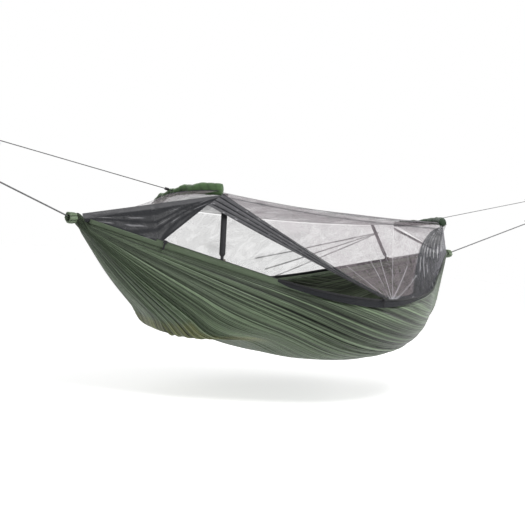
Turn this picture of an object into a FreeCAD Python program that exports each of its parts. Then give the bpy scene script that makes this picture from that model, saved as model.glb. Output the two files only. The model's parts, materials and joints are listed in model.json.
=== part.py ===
import FreeCAD, Part
import math
import os

# A camping hammock with a zipped insect net, hung between two points.
# Millimetres. The hammock frame has X along the ridge from the head gather to the foot gather,
# Z up and the middle of the ridge at zero. Every sub-part is then shifted by its Placement, so
# that the document's origin is the head rope's eye, where the hammock hangs.

V = FreeCAD.Vector
X_AXIS, Y_AXIS, Z_AXIS = V(1, 0, 0), V(0, 1, 0), V(0, 0, 1)
NEAR, FAR = -1, 1
HEAD, FOOT = -1, 1
SIDE_NAME = {NEAR: "near", FAR: "far"}
END_NAME = {HEAD: "head", FOOT: "foot"}

os.makedirs("parts", exist_ok=True)
doc = FreeCAD.newDocument("CampingHammock")

# ---------------------------------------------------------------- driving sizes

SIZES = {
    # body: two cloth layers hung between the gathers
    "ridge_length": 2300.0,
    "rim_drop": 611.0,
    "rim_radius": 918.0,
    "rim_tilt": 24.2,
    "rim_lift": 18.0,
    "belly_depth": 275.0,
    "head_ramp": 500.0,
    "foot_ramp": 270.0,
    "ramp_power": 10.0,
    "belly_corner_power": 3.2,
    "cloth": 1.5,
    "layer_gap": 0.5,
    "mat_gap": 9.0,
    "gather_reach": 62.0,
    "gather_radius": 17.0,
    "gather_neck": 11.0,
    "neck_length": 20.0,
    "gather_frill": 20.0,
    "frill_length": 12.0,
    # rims and zips
    "band_height": 16.0,
    "band_thick": 4.0,
    "tape_height": 9.0,
    "tape_thick": 0.9,
    "coil_width": 1.8,
    "coil_height": 2.2,
    "zip_reach": 880.0,
    "seat": 0.3,
    "net_gap": 0.7,
    # zip sliders and their pulls
    "slider_length": 15.0,
    "slider_outer_wall": 2.4,
    "slider_top_wall": 2.2,
    "slider_skirt": 6.0,
    "pin_diameter": 2.0,
    "pin_play": 0.08,
    "ear_length": 2.6,
    "ear_reach": 3.4,
    "pull_length": 30.0,
    "pull_width": 6.0,
    "pull_thick": 1.6,
    "near_head_slider_place": 852.0,
    # spreader poles and their sleeves
    "pole_chord": 400.0,
    "pole_bow": 75.0,
    "pole_diameter": 8.0,
    "pole_half_gap": 0.6,
    "ferrule_length": 70.0,
    "ferrule_wall": 0.8,
    "ferrule_play": 0.1,
    "tip_length": 16.0,
    "tip_wall": 1.4,
    "sleeve_bore": 18.0,
    "sleeve_wall": 2.0,
    "head_pole_place": 688.0,
    "head_pole_height": 141.0,
    "head_pole_lean": 10.4,
    "head_pole_turn": 5.5,
    "foot_pole_place": 963.0,
    "foot_pole_height": 157.0,
    "foot_pole_lean": 2.3,
    "foot_pole_turn": -13.0,
    "pole_rise": 15.0,
    # insect net
    "net_cloth": 1.2,
    "roof_sag": 22.0,
    "head_roof_sag": 12.0,
    "foot_roof_sag": 2.0,
    "fold_width": 66.0,
    "fold_tip": 12.0,
    "fold_thick": 7.0,
    # side straps
    "strap_width": 24.0,
    "strap_thick": 1.8,
    "rivet_diameter": 4.0,
    "toggle_length": 28.0,
    "toggle_width": 11.0,
    "toggle_thick": 8.0,
    # ropes, net lines and their eyes
    "rope_diameter": 6.0,
    "line_diameter": 3.6,
    "line_lift": 5.0,
    "line_tab_length": 20.0,
    "line_tab_root": 16.0,
    "line_tab_tip": 10.0,
    "line_lock_radius": 5.8,
    "line_lock_length": 16.0,
    "head_rope_run": 322.0,
    "foot_rope_run": 772.0,
    "head_line_run": 785.0,
    "foot_line_run": 928.0,
    "head_rope_slope": 19.3,
    "foot_rope_slope": 16.8,
    "head_line_slope": 7.35,
    "foot_line_slope": 11.9,
    "rope_knot_radius": 10.0,
    "rope_eye_radius": 19.0,
    "line_knot_radius": 6.5,
    "line_eye_radius": 13.0,
    "eye_knot_gap": 0.7,
}

sheet = doc.addObject("Spreadsheet::Sheet", "Sizes")
for row, (alias, value) in enumerate(SIZES.items(), start=1):
    sheet.set(f"A{row}", alias)
    sheet.set(f"B{row}", str(value))
    sheet.setAlias(f"B{row}", alias)
doc.recompute()


def size(alias):
    """A driving size, read back from the sheet."""
    return float(getattr(sheet, alias))


half_ridge = size("ridge_length") / 2
tilt = math.radians(size("rim_tilt"))
seat = size("seat")


def along(slope_name, end):
    """The direction of a rope that leaves one end of the hammock, up and away."""
    slope = math.radians(size(slope_name))
    return V(end * math.cos(slope), 0, math.sin(slope))


# ---------------------------------------------------------------- rim path

arc_centre_drop = size("rim_drop") - size("rim_radius")


def rim_tangent_place():
    """X and drop of the point where the rim's straight run meets its middle arc."""
    reach = math.hypot(half_ridge, arc_centre_drop)
    base = math.atan2(-arc_centre_drop, half_ridge)
    angle = base + math.acos(size("rim_radius") / reach)
    return size("rim_radius") * math.cos(angle), arc_centre_drop + size("rim_radius") * math.sin(angle)


tangent_x, tangent_drop = rim_tangent_place()


def rim_drop_at(x):
    """How far the rim lies from the ridge at x, measured in the rim's own sloping plane."""
    if abs(x) > tangent_x:
        return tangent_drop * (half_ridge - abs(x)) / (half_ridge - tangent_x)
    return arc_centre_drop + math.sqrt(size("rim_radius") ** 2 - x * x)


def out_of_ridge(side):
    """The direction from the ridge to a rim, in the rim's plane."""
    return V(0, side * math.cos(tilt), -math.sin(tilt))


def rim_up(side):
    """The normal of a rim's plane. The zip stands along it."""
    return V(0, side * math.sin(tilt), math.cos(tilt))


def rim_point(x, side):
    return V(x, 0, size("rim_lift")) + out_of_ridge(side) * rim_drop_at(x)


def rim_direction(x, side):
    """The rim's direction towards the foot at x."""
    if abs(x) > tangent_x:
        slope = -math.copysign(tangent_drop / (half_ridge - tangent_x), x)
    else:
        slope = -x / math.sqrt(size("rim_radius") ** 2 - x * x)
    direction = X_AXIS + out_of_ridge(side) * slope
    return direction.normalize()


def rim_outward(x, side):
    """In the rim's plane, square to the rim and away from the ridge."""
    outward = rim_direction(x, side).cross(rim_up(side)) * -side
    return outward.normalize()


def rim_offset(x, side, outward, up):
    return rim_point(x, side) + rim_outward(x, side) * outward + rim_up(side) * up


# ---------------------------------------------------------------- helpers

origin_shift = FreeCAD.Placement()
SUB_PARTS = []


def place(obj, label, local=None):
    """Names a sub-part and puts it in the document's frame."""
    obj.Label = label
    local = local or FreeCAD.Placement()
    obj.Placement = origin_shift.multiply(local)
    SUB_PARTS.append(obj)
    return obj


def feature(label, shape, local=None):
    obj = doc.addObject("Part::Feature", label)
    obj.Shape = shape
    return place(obj, label, local)


def bind(obj, **expressions):
    """Ties properties to the sheet."""
    for name, expression in expressions.items():
        obj.setExpression(name, expression)


def primitive(kind, name, **expressions):
    obj = doc.addObject("Part::" + kind, name)
    bind(obj, **expressions)
    return obj


def boolean(kind, name, base, tool):
    obj = doc.addObject("Part::" + kind, name)
    obj.Base = base
    obj.Tool = tool
    return obj


def local_frame(base, x_dir, z_dir):
    """A Placement at base whose X is x_dir and whose Z is as near z_dir as it can be."""
    y_dir = z_dir.cross(x_dir)
    return FreeCAD.Placement(base, FreeCAD.Rotation(x_dir, y_dir, z_dir, "XZY"))


def interpolated(points):
    surface = Part.BSplineSurface()
    surface.interpolate(points)
    return surface


def sheet_solid(grid, thickness):
    """A closed solid of even thickness about a grid of points: two skins and four edge strips."""
    rows, columns = len(grid), len(grid[0])
    skins = []
    for way in (0.5, -0.5):
        skin = []
        for i in range(rows):
            line = []
            for j in range(columns):
                down = grid[min(i + 1, rows - 1)][j] - grid[max(i - 1, 0)][j]
                across = grid[i][min(j + 1, columns - 1)] - grid[i][max(j - 1, 0)]
                normal = down.cross(across).normalize()
                line.append(grid[i][j] + normal * (way * thickness))
            skin.append(line)
        skins.append(interpolated(skin))
    faces = [skin.toShape() for skin in skins]
    for iso, first in (("uIso", 0), ("vIso", 2)):
        for k in (first, first + 1):
            edges = [getattr(skin, iso)(skin.bounds()[k]).toShape() for skin in skins]
            faces.append(Part.makeRuledSurface(*edges))
    shell = Part.makeCompound(faces)
    shell.sewShape()
    solid = Part.makeSolid(shell.Shells[0])
    if solid.Volume < 0:
        solid.reverse()
    return solid


def plate_between(first, second, thickness):
    """A closed plate of even thickness between two straight edges, each a pair of end points."""
    normal = (first[1] - first[0]).cross(second[0] - first[0]).normalize() * (thickness / 2)
    rims = []
    for start, end in (first, second):
        rims.append(Part.makePolygon([start - normal, end - normal, end + normal, start + normal, start - normal]))
    return Part.makeLoft(rims, True, True)


def ruled_grid(first, second, rows, sag=None):
    """Rows of points from one curve to another, both lists of equal length."""
    grid = []
    for i in range(rows + 1):
        share = i / rows
        drop = (sag or V(0, 0, 0)) * (4 * share * (1 - share))
        grid.append([a * (1 - share) + b * share + drop for a, b in zip(first, second)])
    return grid


def spaced(low, high, count):
    return [low + (high - low) * i / count for i in range(count + 1)]


def straight_line(start, end, count):
    return [start * (1 - share) + end * share for share in spaced(0, 1, count)]


def move_from(point, towards, distance):
    return point + (towards - point).normalize() * distance


# ---------------------------------------------------------------- rope ends and the origin

gather_tip = {end: V(end * half_ridge, 0, 0) for end in (HEAD, FOOT)}
ROPES = {
    "head_rope": ("rope", HEAD, "head_rope_run", "head_rope_slope"),
    "foot_rope": ("rope", FOOT, "foot_rope_run", "foot_rope_slope"),
    "head_net_line": ("line", HEAD, "head_line_run", "head_line_slope"),
    "foot_net_line": ("line", FOOT, "foot_line_run", "foot_line_slope"),
}


def pole_apex(end):
    name = END_NAME[end] + "_pole"
    return V(end * size(name + "_place"), 0, size(name + "_height"))


def line_root(end):
    """The net line pulls on the sleeve a little above the pole's middle."""
    return pole_apex(end) + Z_AXIS * size("line_lift")


def rope_root(name):
    """Where a rope's straight line starts: the gather's tip, or above the middle of a pole."""
    kind, end, _, _ = ROPES[name]
    return gather_tip[end] if kind == "rope" else line_root(end)


def knot_centre(name):
    kind, end, run, slope = ROPES[name]
    gap = size(kind + "_knot_radius") + size("eye_knot_gap")
    return rope_root(name) + along(slope, end) * (size(run) + gap)


def eye_centre(name):
    kind, end, _, slope = ROPES[name]
    throat = size(kind + "_knot_radius") * 0.6 + size(kind + "_eye_radius")
    return knot_centre(name) + along(slope, end) * throat


origin_shift = FreeCAD.Placement(-eye_centre("head_rope"), FreeCAD.Rotation())


# ---------------------------------------------------------------- body layers


def belly_depth_at(x):
    """Depth below the rims: a ramp up from each gather that levels off where the flat bed starts."""
    ramp = size("head_ramp") if x < 0 else size("foot_ramp")
    share = (half_ridge - abs(x)) / ramp
    power = size("ramp_power")
    return size("belly_depth") * share / (1 + share ** power) ** (1 / power)


def belly_section(x, inset, lift, columns):
    """One cross section of the body, from the near rim under the belly to the far rim."""
    band_foot = -(size("band_height") + seat)
    near_top = rim_offset(x, NEAR, 0, band_foot)
    half_width = -near_top.y - inset
    depth = belly_depth_at(x) - lift
    power = size("belly_corner_power")
    points = []
    for angle in spaced(math.pi, 0, columns):
        c, s = math.cos(angle), math.sin(angle)
        reach = (abs(c) ** power + abs(s) ** power) ** (-1 / power)
        points.append(V(x, half_width * c * reach, near_top.z - depth * s * reach))
    return points


def belly_layer(label, inset, lift, reach):
    stations = [half_ridge * 0.95 * math.sin(a) / math.sin(1.25) for a in spaced(-1.25, 1.25, 26)]
    stations = [x * reach / (half_ridge * 0.95) for x in stations]
    grid = [belly_section(x, inset, lift, 20) for x in stations]
    return feature(label, sheet_solid(grid, size("cloth")))


belly_reach = half_ridge - size("gather_reach")


def make_layers():
    """The outer layer, and the bed layer just inside it with room for a mat between the two."""
    belly_layer("outer_layer", 0, 0, belly_reach)
    inset = size("cloth") + size("layer_gap")
    belly_layer("bed_layer", inset, inset + size("mat_gap"), belly_reach - inset)


# ---------------------------------------------------------------- gathers and lashings


def ring_wire(centre, radius_y, radius_z, points=24):
    """A closed smooth oval about a point, square to X."""
    ring = []
    for k in range(points):
        angle = 2 * math.pi * k / points
        ring.append(centre + V(0, radius_y * math.cos(angle), radius_z * math.sin(angle)))
    curve = Part.BSplineCurve()
    curve.interpolate(ring, PeriodicFlag=True)
    return Part.Wire(curve.toShape())


def make_gather(end):
    """The pleated end of the body, drawn in to a neck for the rope, with a short frill past it."""
    section = belly_section(end * belly_reach, 0, 0, 2)
    depth = section[0].z - section[1].z
    half_width = section[2].y
    start_x = end * (belly_reach + size("cloth") / 2 + seat)
    middle_z = section[0].z - depth / 2
    frill = size("gather_frill")
    profile = [
        (end * (half_ridge - size("neck_length") - 12), size("gather_radius"), size("gather_radius")),
        (end * (half_ridge - size("neck_length")), size("gather_neck"), size("gather_neck")),
        (end * half_ridge, size("gather_neck"), size("gather_neck")),
        (end * (half_ridge + size("frill_length")), frill, frill * 0.8),
    ]
    rings = [ring_wire(V(start_x, 0, middle_z), half_width, depth / 2)]
    rings += [ring_wire(V(x, 0, 0), radius_y, radius_z) for x, radius_y, radius_z in profile]
    feature(END_NAME[end] + "_gather", Part.makeLoft(rings, True, True))


def make_lashing(end):
    """The rope's turns around the gather's neck."""
    name = END_NAME[end] + "_lashing"
    turns = []
    for k in (-1, 0, 1):
        turn = primitive("Torus", f"{name}_turn_{k + 1}", Radius2="Sizes.rope_diameter / 2",
                         Radius1="Sizes.gather_neck + Sizes.rope_diameter / 2 + Sizes.seat")
        middle = half_ridge - size("neck_length") / 2
        place_x = end * middle + k * (size("rope_diameter") * 0.96)
        turn.Placement = FreeCAD.Placement(V(place_x, 0, 0), FreeCAD.Rotation(Y_AXIS, 90))
        turns.append(turn)
    group = doc.addObject("Part::MultiFuse", name)
    group.Shapes = turns
    place(group, name)


# ---------------------------------------------------------------- rims and zips


def planar_path(side, reach, outward):
    """Straight run, arc and straight run along a rim, offset in the rim's plane."""
    reach_points = [rim_offset(x, side, outward, 0) for x in (-reach, -tangent_x, 0, tangent_x, reach)]
    a, b, c, d, e = reach_points
    edges = [Part.Arc(b, c, d).toShape()]
    if reach > tangent_x + 1:
        edges = [Part.LineSegment(a, b).toShape()] + edges + [Part.LineSegment(d, e).toShape()]
    return edges


def rim_strip(side, reach, outward_low, outward_high, up_low, up_high):
    """A strip that follows a rim: the band between two offsets, raised along the rim's normal."""
    low = planar_path(side, reach, outward_low)
    high = planar_path(side, reach, outward_high)
    caps = []
    for k, vertex in ((0, 0), (-1, -1)):
        start = low[k].Vertexes[vertex].Point
        finish = high[k].Vertexes[vertex].Point
        caps.append(Part.LineSegment(start, finish).toShape())
    face = Part.Face(Part.Wire(Part.__sortEdges__(low + high + caps)))
    up = rim_up(side)
    face.translate(up * up_low)
    return face.extrude(up * (up_high - up_low))


def make_rim(side):
    """The folded hem along a rim, with the zip's tape and coil standing on it."""
    half_band = size("band_thick") / 2
    band = rim_strip(side, belly_reach, -half_band, half_band, -size("band_height"), 0)
    feature(SIDE_NAME[side] + "_rim_band", band)
    half_tape = size("tape_thick") / 2
    half_coil = size("coil_width") / 2
    reach = size("zip_reach")
    tape_top = seat + size("tape_height")
    tape = rim_strip(side, reach, -half_tape, half_tape, seat, tape_top)
    coil = rim_strip(side, reach, -half_coil, half_coil, tape_top, tape_top + size("coil_height"))
    feature(SIDE_NAME[side] + "_zip_tape", tape.fuse(coil).removeSplitter())


# ---------------------------------------------------------------- zip sliders and pulls


def closed_sketch(body, name, plane_role, loops):
    """A sketch of closed outlines on one of the body's own planes."""
    plane = [item for item in body.Origin.OriginFeatures if item.Role == plane_role][0]
    sketch = body.newObject("Sketcher::SketchObject", name)
    sketch.AttachmentSupport = [(plane, "")]
    sketch.MapMode = "FlatFace"
    for loop in loops:
        if loop[0] == "circle":
            sketch.addGeometry(Part.Circle(loop[1], Z_AXIS, loop[2]), False)
            continue
        for start, finish in zip(loop, loop[1:] + loop[:1]):
            sketch.addGeometry(Part.LineSegment(start, finish), False)
    return sketch


def pad(body, name, sketch, length, midplane=True):
    """A pad whose length is an expression of the sheet."""
    result = body.newObject("PartDesign::Pad", name)
    result.Profile = sketch
    result.setExpression("Length", length)
    result.Midplane = midplane
    sketch.Visibility = False
    return result


channel_half = size("coil_width") / 2 + seat
inner_wall = size("band_thick") / 2 + seat - channel_half
slider_top = seat + size("tape_height") + size("coil_height") + seat + size("slider_top_wall")
slider_foot = slider_top - size("slider_top_wall") - seat - size("coil_height") - size("slider_skirt")
slider_outer = channel_half + size("slider_outer_wall")
pin_out = slider_outer + size("ear_reach") - size("pin_diameter") / 2
pin_up = slider_top - 4.2


def make_slider(label, frame):
    """A slider: a channel over the coil, two ears on its outer wall and the pull's pin."""
    body = doc.addObject("PartDesign::Body", label)
    inner = -(channel_half + inner_wall) + 0.05
    channel_top = slider_top - size("slider_top_wall")
    outline = [
        (inner, slider_foot), (-channel_half, slider_foot), (-channel_half, channel_top),
        (channel_half, channel_top), (channel_half, slider_foot), (slider_outer, slider_foot),
        (slider_outer, slider_top), (inner, slider_top),
    ]
    points = [V(y, z, 0) for y, z in outline]
    channel = closed_sketch(body, label + "_section", "YZ_Plane", [points])
    pad(body, label + "_channel", channel, "Sizes.slider_length")
    reach, low, high = size("ear_reach"), pin_up - 2.2, pin_up + 2.2
    ear = [(slider_outer - 0.5, low), (slider_outer + reach, low), (slider_outer + reach, high),
           (slider_outer - 0.5, high)]
    gap = size("pull_width") / 2 + seat
    for k, place_x in enumerate((-1, 1)):
        sketch = closed_sketch(body, f"{label}_ear_{k}", "YZ_Plane", [[V(y, z, 0) for y, z in ear]])
        sketch.AttachmentOffset = FreeCAD.Placement(
            V(0, 0, place_x * (gap + size("ear_length") / 2)), FreeCAD.Rotation())
        pad(body, f"{label}_ear_pad_{k}", sketch, "Sizes.ear_length")
    pin = closed_sketch(body, label + "_pin_outline", "YZ_Plane",
                        [("circle", V(pin_out, pin_up, 0), size("pin_diameter") / 2)])
    pad(body, label + "_pin", pin, "Sizes.pull_width + 2 * Sizes.seat + 1")
    return place(body, label, frame)


def make_pull(label, frame, hang):
    """A zip pull: an eye that turns on the slider's pin and a tab that hangs from it."""
    body = doc.addObject("PartDesign::Body", label)
    bore = size("pin_diameter") / 2 + size("pin_play")
    rim = bore + 1.1
    half = size("pull_thick") / 2
    eye = closed_sketch(body, label + "_eye_outline", "YZ_Plane",
                        [("circle", V(0, 0, 0), rim), ("circle", V(0, 0, 0), bore)])
    pad(body, label + "_eye", eye, "Sizes.pull_width")
    top = -bore - 0.3
    tab = [V(-half, top, 0), V(half, top, 0), V(half, -size("pull_length"), 0), V(-half, -size("pull_length"), 0)]
    tab_sketch = closed_sketch(body, label + "_tab_outline", "YZ_Plane", [tab])
    pad(body, label + "_tab", tab_sketch, "Sizes.pull_width")
    turned = FreeCAD.Placement(V(0, pin_out, pin_up), FreeCAD.Rotation(X_AXIS, hang))
    return place(body, label, frame.multiply(turned))


def slider_frame(x, side):
    """Local X along the rim, Y away from the ridge and Z up the zip."""
    direction = rim_direction(x, side) * side
    return FreeCAD.Placement(
        rim_point(x, side),
        FreeCAD.Rotation(direction, rim_outward(x, side), rim_up(side), "XZY"))


def plumb_angle(frame):
    """How far the pull turns about its pin, from the slider's own down, to hang plumb."""
    down = frame.Rotation.inverted().multVec(V(0, 0, -1))
    return math.degrees(math.atan2(down.y, -down.z))


closed_place = size("slider_length") / 2 + 1.0
SLIDERS = {
    "near_head": (NEAR, -size("near_head_slider_place")),
    "near_foot": (NEAR, 0.0),
    "far_head": (FAR, -closed_place),
    "far_foot": (FAR, closed_place),
}


def make_sliders():
    for name, (side, x) in SLIDERS.items():
        frame = slider_frame(x, side)
        make_slider(name + "_slider", frame)
        make_pull(name + "_pull", frame, plumb_angle(frame))


# ---------------------------------------------------------------- spreader poles and sleeves

half_chord = size("pole_chord") / 2
pole_arc_radius = (half_chord ** 2 + size("pole_bow") ** 2) / (2 * size("pole_bow"))
pole_half_angle = math.degrees(math.asin(half_chord / pole_arc_radius))
ARC_RADIUS = "(Sizes.pole_chord ^ 2 / 4 + Sizes.pole_bow ^ 2) / (2 * Sizes.pole_bow)"


def pole_placement(end):
    """The pole's local frame: X out towards the rope, Y along its chord, apex at zero."""
    name = END_NAME[end] + "_pole"
    turn = FreeCAD.Rotation(Z_AXIS, size(name + "_turn"))
    lean = FreeCAD.Rotation(X_AXIS, -size(name + "_lean"))
    rise = FreeCAD.Rotation(Y_AXIS, -end * size("pole_rise"))
    base = FreeCAD.Rotation(Z_AXIS, 0 if end == FOOT else 180)
    return FreeCAD.Placement(pole_apex(end), turn.multiply(lean).multiply(rise).multiply(base))


def pole_point(end, share, outward=0.0, up=0.0):
    """A point by the pole: share runs from -1 at its near end to 1 at its far end."""
    angle = math.radians(pole_half_angle * share * end)
    radius = pole_arc_radius + outward
    local = V(radius * math.cos(angle) - pole_arc_radius, radius * math.sin(angle), up)
    return pole_placement(end).multVec(local)


def arc_tube(name, section_radius, start, sweep):
    """Part of a ring about the pole's centre of curvature, from a start angle in degrees."""
    tube = primitive("Torus", name, Radius1=ARC_RADIUS, Radius2=section_radius)
    tube.Angle3 = sweep
    tube.Placement = FreeCAD.Placement(V(-pole_arc_radius, 0, 0), FreeCAD.Rotation(Z_AXIS, start))
    return tube


def degrees_of(length):
    return math.degrees(length / pole_arc_radius)


def make_pole(end):
    """Two rods in a ferrule, with a cap on each outer end."""
    name = END_NAME[end]
    frame = pole_placement(end)
    half_gap = degrees_of(size("pole_half_gap") / 2)
    sweep = pole_half_angle - half_gap
    for side in (NEAR, FAR):
        start = half_gap if side * end > 0 else -pole_half_angle
        rod = arc_tube(f"{name}_pole_{SIDE_NAME[side]}_rod", "Sizes.pole_diameter / 2", start, sweep)
        place(rod, rod.Name, frame.multiply(rod.Placement))
    ferrule_angle = degrees_of(size("ferrule_length"))
    bore = "Sizes.pole_diameter / 2 + Sizes.ferrule_play"
    outer = arc_tube(name + "_ferrule_outer", bore + " + Sizes.ferrule_wall", -ferrule_angle / 2, ferrule_angle)
    inner = arc_tube(name + "_ferrule_bore", bore, -ferrule_angle / 2 - 1, ferrule_angle + 2)
    place(boolean("Cut", name + "_pole_ferrule", outer, inner), name + "_pole_ferrule", frame)
    tip_angle, cap_angle = degrees_of(size("tip_length")), degrees_of(2.0)
    tips = []
    for way in (-1, 1):
        start = way * pole_half_angle + (-tip_angle + cap_angle if way > 0 else -cap_angle)
        cap = arc_tube(f"{name}_tip_cap_{way + 1}", bore + " + Sizes.tip_wall", start, tip_angle)
        clear = cap_angle / 8
        socket_start = way * (pole_half_angle + clear) - (tip_angle if way > 0 else 0)
        socket = arc_tube(f"{name}_tip_socket_{way + 1}", bore, socket_start, tip_angle)
        tips.append(boolean("Cut", f"{name}_tip_{way + 1}", cap, socket))
    group = doc.addObject("Part::Compound", name + "_pole_tips")
    group.Links = tips
    place(group, name + "_pole_tips", frame)


def make_sleeve(end):
    """The cloth sleeve over a pole, closed at both ends past the pole's caps."""
    name = END_NAME[end] + "_pole_sleeve"
    reach = pole_half_angle + degrees_of(6.0)
    bore = "Sizes.sleeve_bore / 2"
    outer = arc_tube(name + "_outer", bore + " + Sizes.sleeve_wall", -reach, 2 * reach)
    hollow_reach = pole_half_angle + degrees_of(3.0)
    hollow = arc_tube(name + "_hollow", bore, -hollow_reach, 2 * hollow_reach)
    place(boolean("Cut", name, outer, hollow), name, pole_placement(end))


sleeve_radius = size("sleeve_bore") / 2 + size("sleeve_wall")


def tab_start(end):
    """Where the line's tab meets the sleeve, clear of it at the tab's inner corner."""
    lift, slope = size("line_lift"), math.radians(size(END_NAME[end] + "_line_slope"))
    surface = math.sqrt(sleeve_radius ** 2 - (lift * math.cos(slope)) ** 2) - lift * math.sin(slope)
    turn = math.radians(abs(size(END_NAME[end] + "_pole_turn")))
    return surface + seat + size("line_tab_root") / 2 * math.tan(turn)


def tab_end(end):
    return tab_start(end) + size("line_tab_length")


def line_frame(end):
    """Local X along the net line, from just above the middle of the pole."""
    turned = local_frame(V(), along(END_NAME[end] + "_line_slope", end), Z_AXIS).Rotation
    return FreeCAD.Placement(line_root(end), turned)


def make_line_tab(end):
    """The net line's tab on the sleeve's middle, with the cord lock in front of it."""
    name = END_NAME[end] + "_line_tab"
    root, tip = size("line_tab_root") / 2, size("line_tab_tip") / 2
    body = doc.addObject("PartDesign::Body", name)
    low, high = tab_start(end), tab_end(end)
    outline = [V(low, -root, 0), V(high, -tip, 0), V(high, tip, 0), V(low, root, 0)]
    sketch = closed_sketch(body, name + "_outline", "XY_Plane", [outline])
    pad(body, name + "_pad", sketch, "Sizes.strap_thick")
    place(body, name, line_frame(end))
    lock_name = END_NAME[end] + "_line_lock"
    lock = primitive("Cylinder", lock_name, Radius="Sizes.line_lock_radius", Height="Sizes.line_lock_length")
    turned = FreeCAD.Placement(V(high + seat, 0, 0), FreeCAD.Rotation(Y_AXIS, 90))
    place(lock, lock_name, line_frame(end).multiply(turned))


# ---------------------------------------------------------------- insect net

net_inward = -(size("band_thick") / 2 + size("net_gap") + size("net_cloth") / 2)
NET_FOOT_UP = -4.0
skin_gap = size("net_cloth") / 2 + seat


def net_foot(x, side):
    """The net's sewn lower edge, against the inner face of the rim band."""
    return rim_offset(x, side, net_inward, NET_FOOT_UP)


def roof_edge(side, count, first=0.0, last=1.0):
    """The roof's edge from the head pole's end to the foot pole's end, with its sag."""
    start = pole_point(HEAD, side, -sleeve_radius)
    finish = pole_point(FOOT, side, -sleeve_radius)
    points = []
    for share in spaced(first, last, count):
        drop = size("roof_sag") * 4 * share * (1 - share)
        points.append(start * (1 - share) + finish * share - Z_AXIS * drop)
    return points


def roof_point(across, share):
    """A point of the roof: across runs from the near edge to the far one, share from head to foot."""
    inside = -(sleeve_radius + seat)
    head, foot = pole_point(HEAD, across, inside), pole_point(FOOT, across, inside)
    drop = size("roof_sag") * 4 * share * (1 - share) * (0.55 + 0.45 * across ** 2)
    return head * (1 - share) + foot * share - Z_AXIS * drop


def make_roof():
    """The roof between the two sleeves, with a soft sag along its length."""
    grid = [[roof_point(across, share) for across in spaced(-0.97, 0.97, 12)] for share in spaced(0, 1, 14)]
    feature("net_roof", sheet_solid(grid, size("net_cloth")))


def make_end_roof(end):
    """The pointed roof from a sleeve out to the gather."""
    point = V(end * (belly_reach - 44), 0, size("rim_lift") - 2)
    edge = []
    for across in spaced(-0.86, 0.86, 10):
        outside = sleeve_radius + seat + 0.25 + 9.0 * abs(across) ** 3
        edge.append(pole_point(end, across, outside, -2))
    tip = straight_line(point - Y_AXIS * 11, point + Y_AXIS * 11, 10)
    grid = ruled_grid(edge, tip, 10, V(0, 0, -size(END_NAME[end] + "_roof_sag")))
    feature(f"net_{END_NAME[end]}_roof", sheet_solid(grid, size("net_cloth")))


def side_start(end, side):
    """The far corner of an end's side panel, beside the gather."""
    return V(end * (belly_reach - 40), side * 17, size("rim_lift") + 1)


def end_side_edge(end, side, count):
    """The upper edge of an end's side panel, from beside the gather to the pole's end."""
    top = pole_point(end, side, 0) - Z_AXIS * (sleeve_radius + skin_gap + 1) + Y_AXIS * (side * 2)
    return straight_line(side_start(end, side), top, count)


def make_far_net():
    """Three panels down to the far rim: beside the bed, and one past each pole."""
    upper = [p + V(0, 3, -3) for p in roof_edge(FAR, 16, 0.01, 0.99)]
    low_head, low_foot = -640, 890
    lower = [net_foot(x, FAR) for x in spaced(low_head, low_foot, 16)]
    feature("net_far_side", sheet_solid(ruled_grid(upper, lower, 8), size("net_cloth")))
    for end, low in ((HEAD, low_head), (FOOT, low_foot)):
        edge = end_side_edge(end, FAR, 8)
        foot = [net_foot(x, FAR) for x in spaced(end * (belly_reach - 8), low + end * 4, 8)]
        feature(f"net_far_{END_NAME[end]}", sheet_solid(ruled_grid(edge, foot, 5), size("net_cloth")))


door_hook = pole_point(HEAD, NEAR, -4) - Z_AXIS * 74
door_peak = door_hook + V(-76, -4, 14)


def door_free_edge(count):
    """The raised lower edge of the open door, from its hook by the head pole to the zip."""
    latch = rim_offset(16, NEAR, net_inward - 4.2, 5.6)
    points = straight_line(move_from(door_hook, latch, size("strap_width") * 1.5), latch, count)
    return [p - Z_AXIS * (10 * math.sin(math.pi * k / count)) for k, p in enumerate(points)]


def fold_edge(count):
    """A line above the door's free edge: the fold narrows from its hook to the zip."""
    points = []
    for k, p in enumerate(door_free_edge(count)):
        width = size("fold_width") + (size("fold_tip") - size("fold_width")) * min(k / count / 0.8, 1)
        points.append(p + V(0.12, -0.28, 0.95) * width)
    return points


def make_door():
    """The open door: a bunched fold along its free edge, and the panel up to the roof."""
    count = 14
    low = [p + Z_AXIS * 2 for p in door_free_edge(count)]
    high = fold_edge(count)
    feature("net_door_fold", sheet_solid(ruled_grid(low, high, 4, V(0, -5, 0)), size("fold_thick")))
    clear = size("fold_thick") / 2 + size("net_cloth")
    lower = [p + Z_AXIS * clear for p in fold_edge(count)]
    rim_part = [net_foot(x, NEAR) for x in spaced(60, 800, count)]
    upper = [p + V(0, -3, -3) for p in roof_edge(NEAR, 2 * count + 1, 0.02, 0.99)]
    grid = ruled_grid(upper, lower + rim_part, 8)
    feature("net_near_side", sheet_solid(grid, size("net_cloth")))


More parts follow.
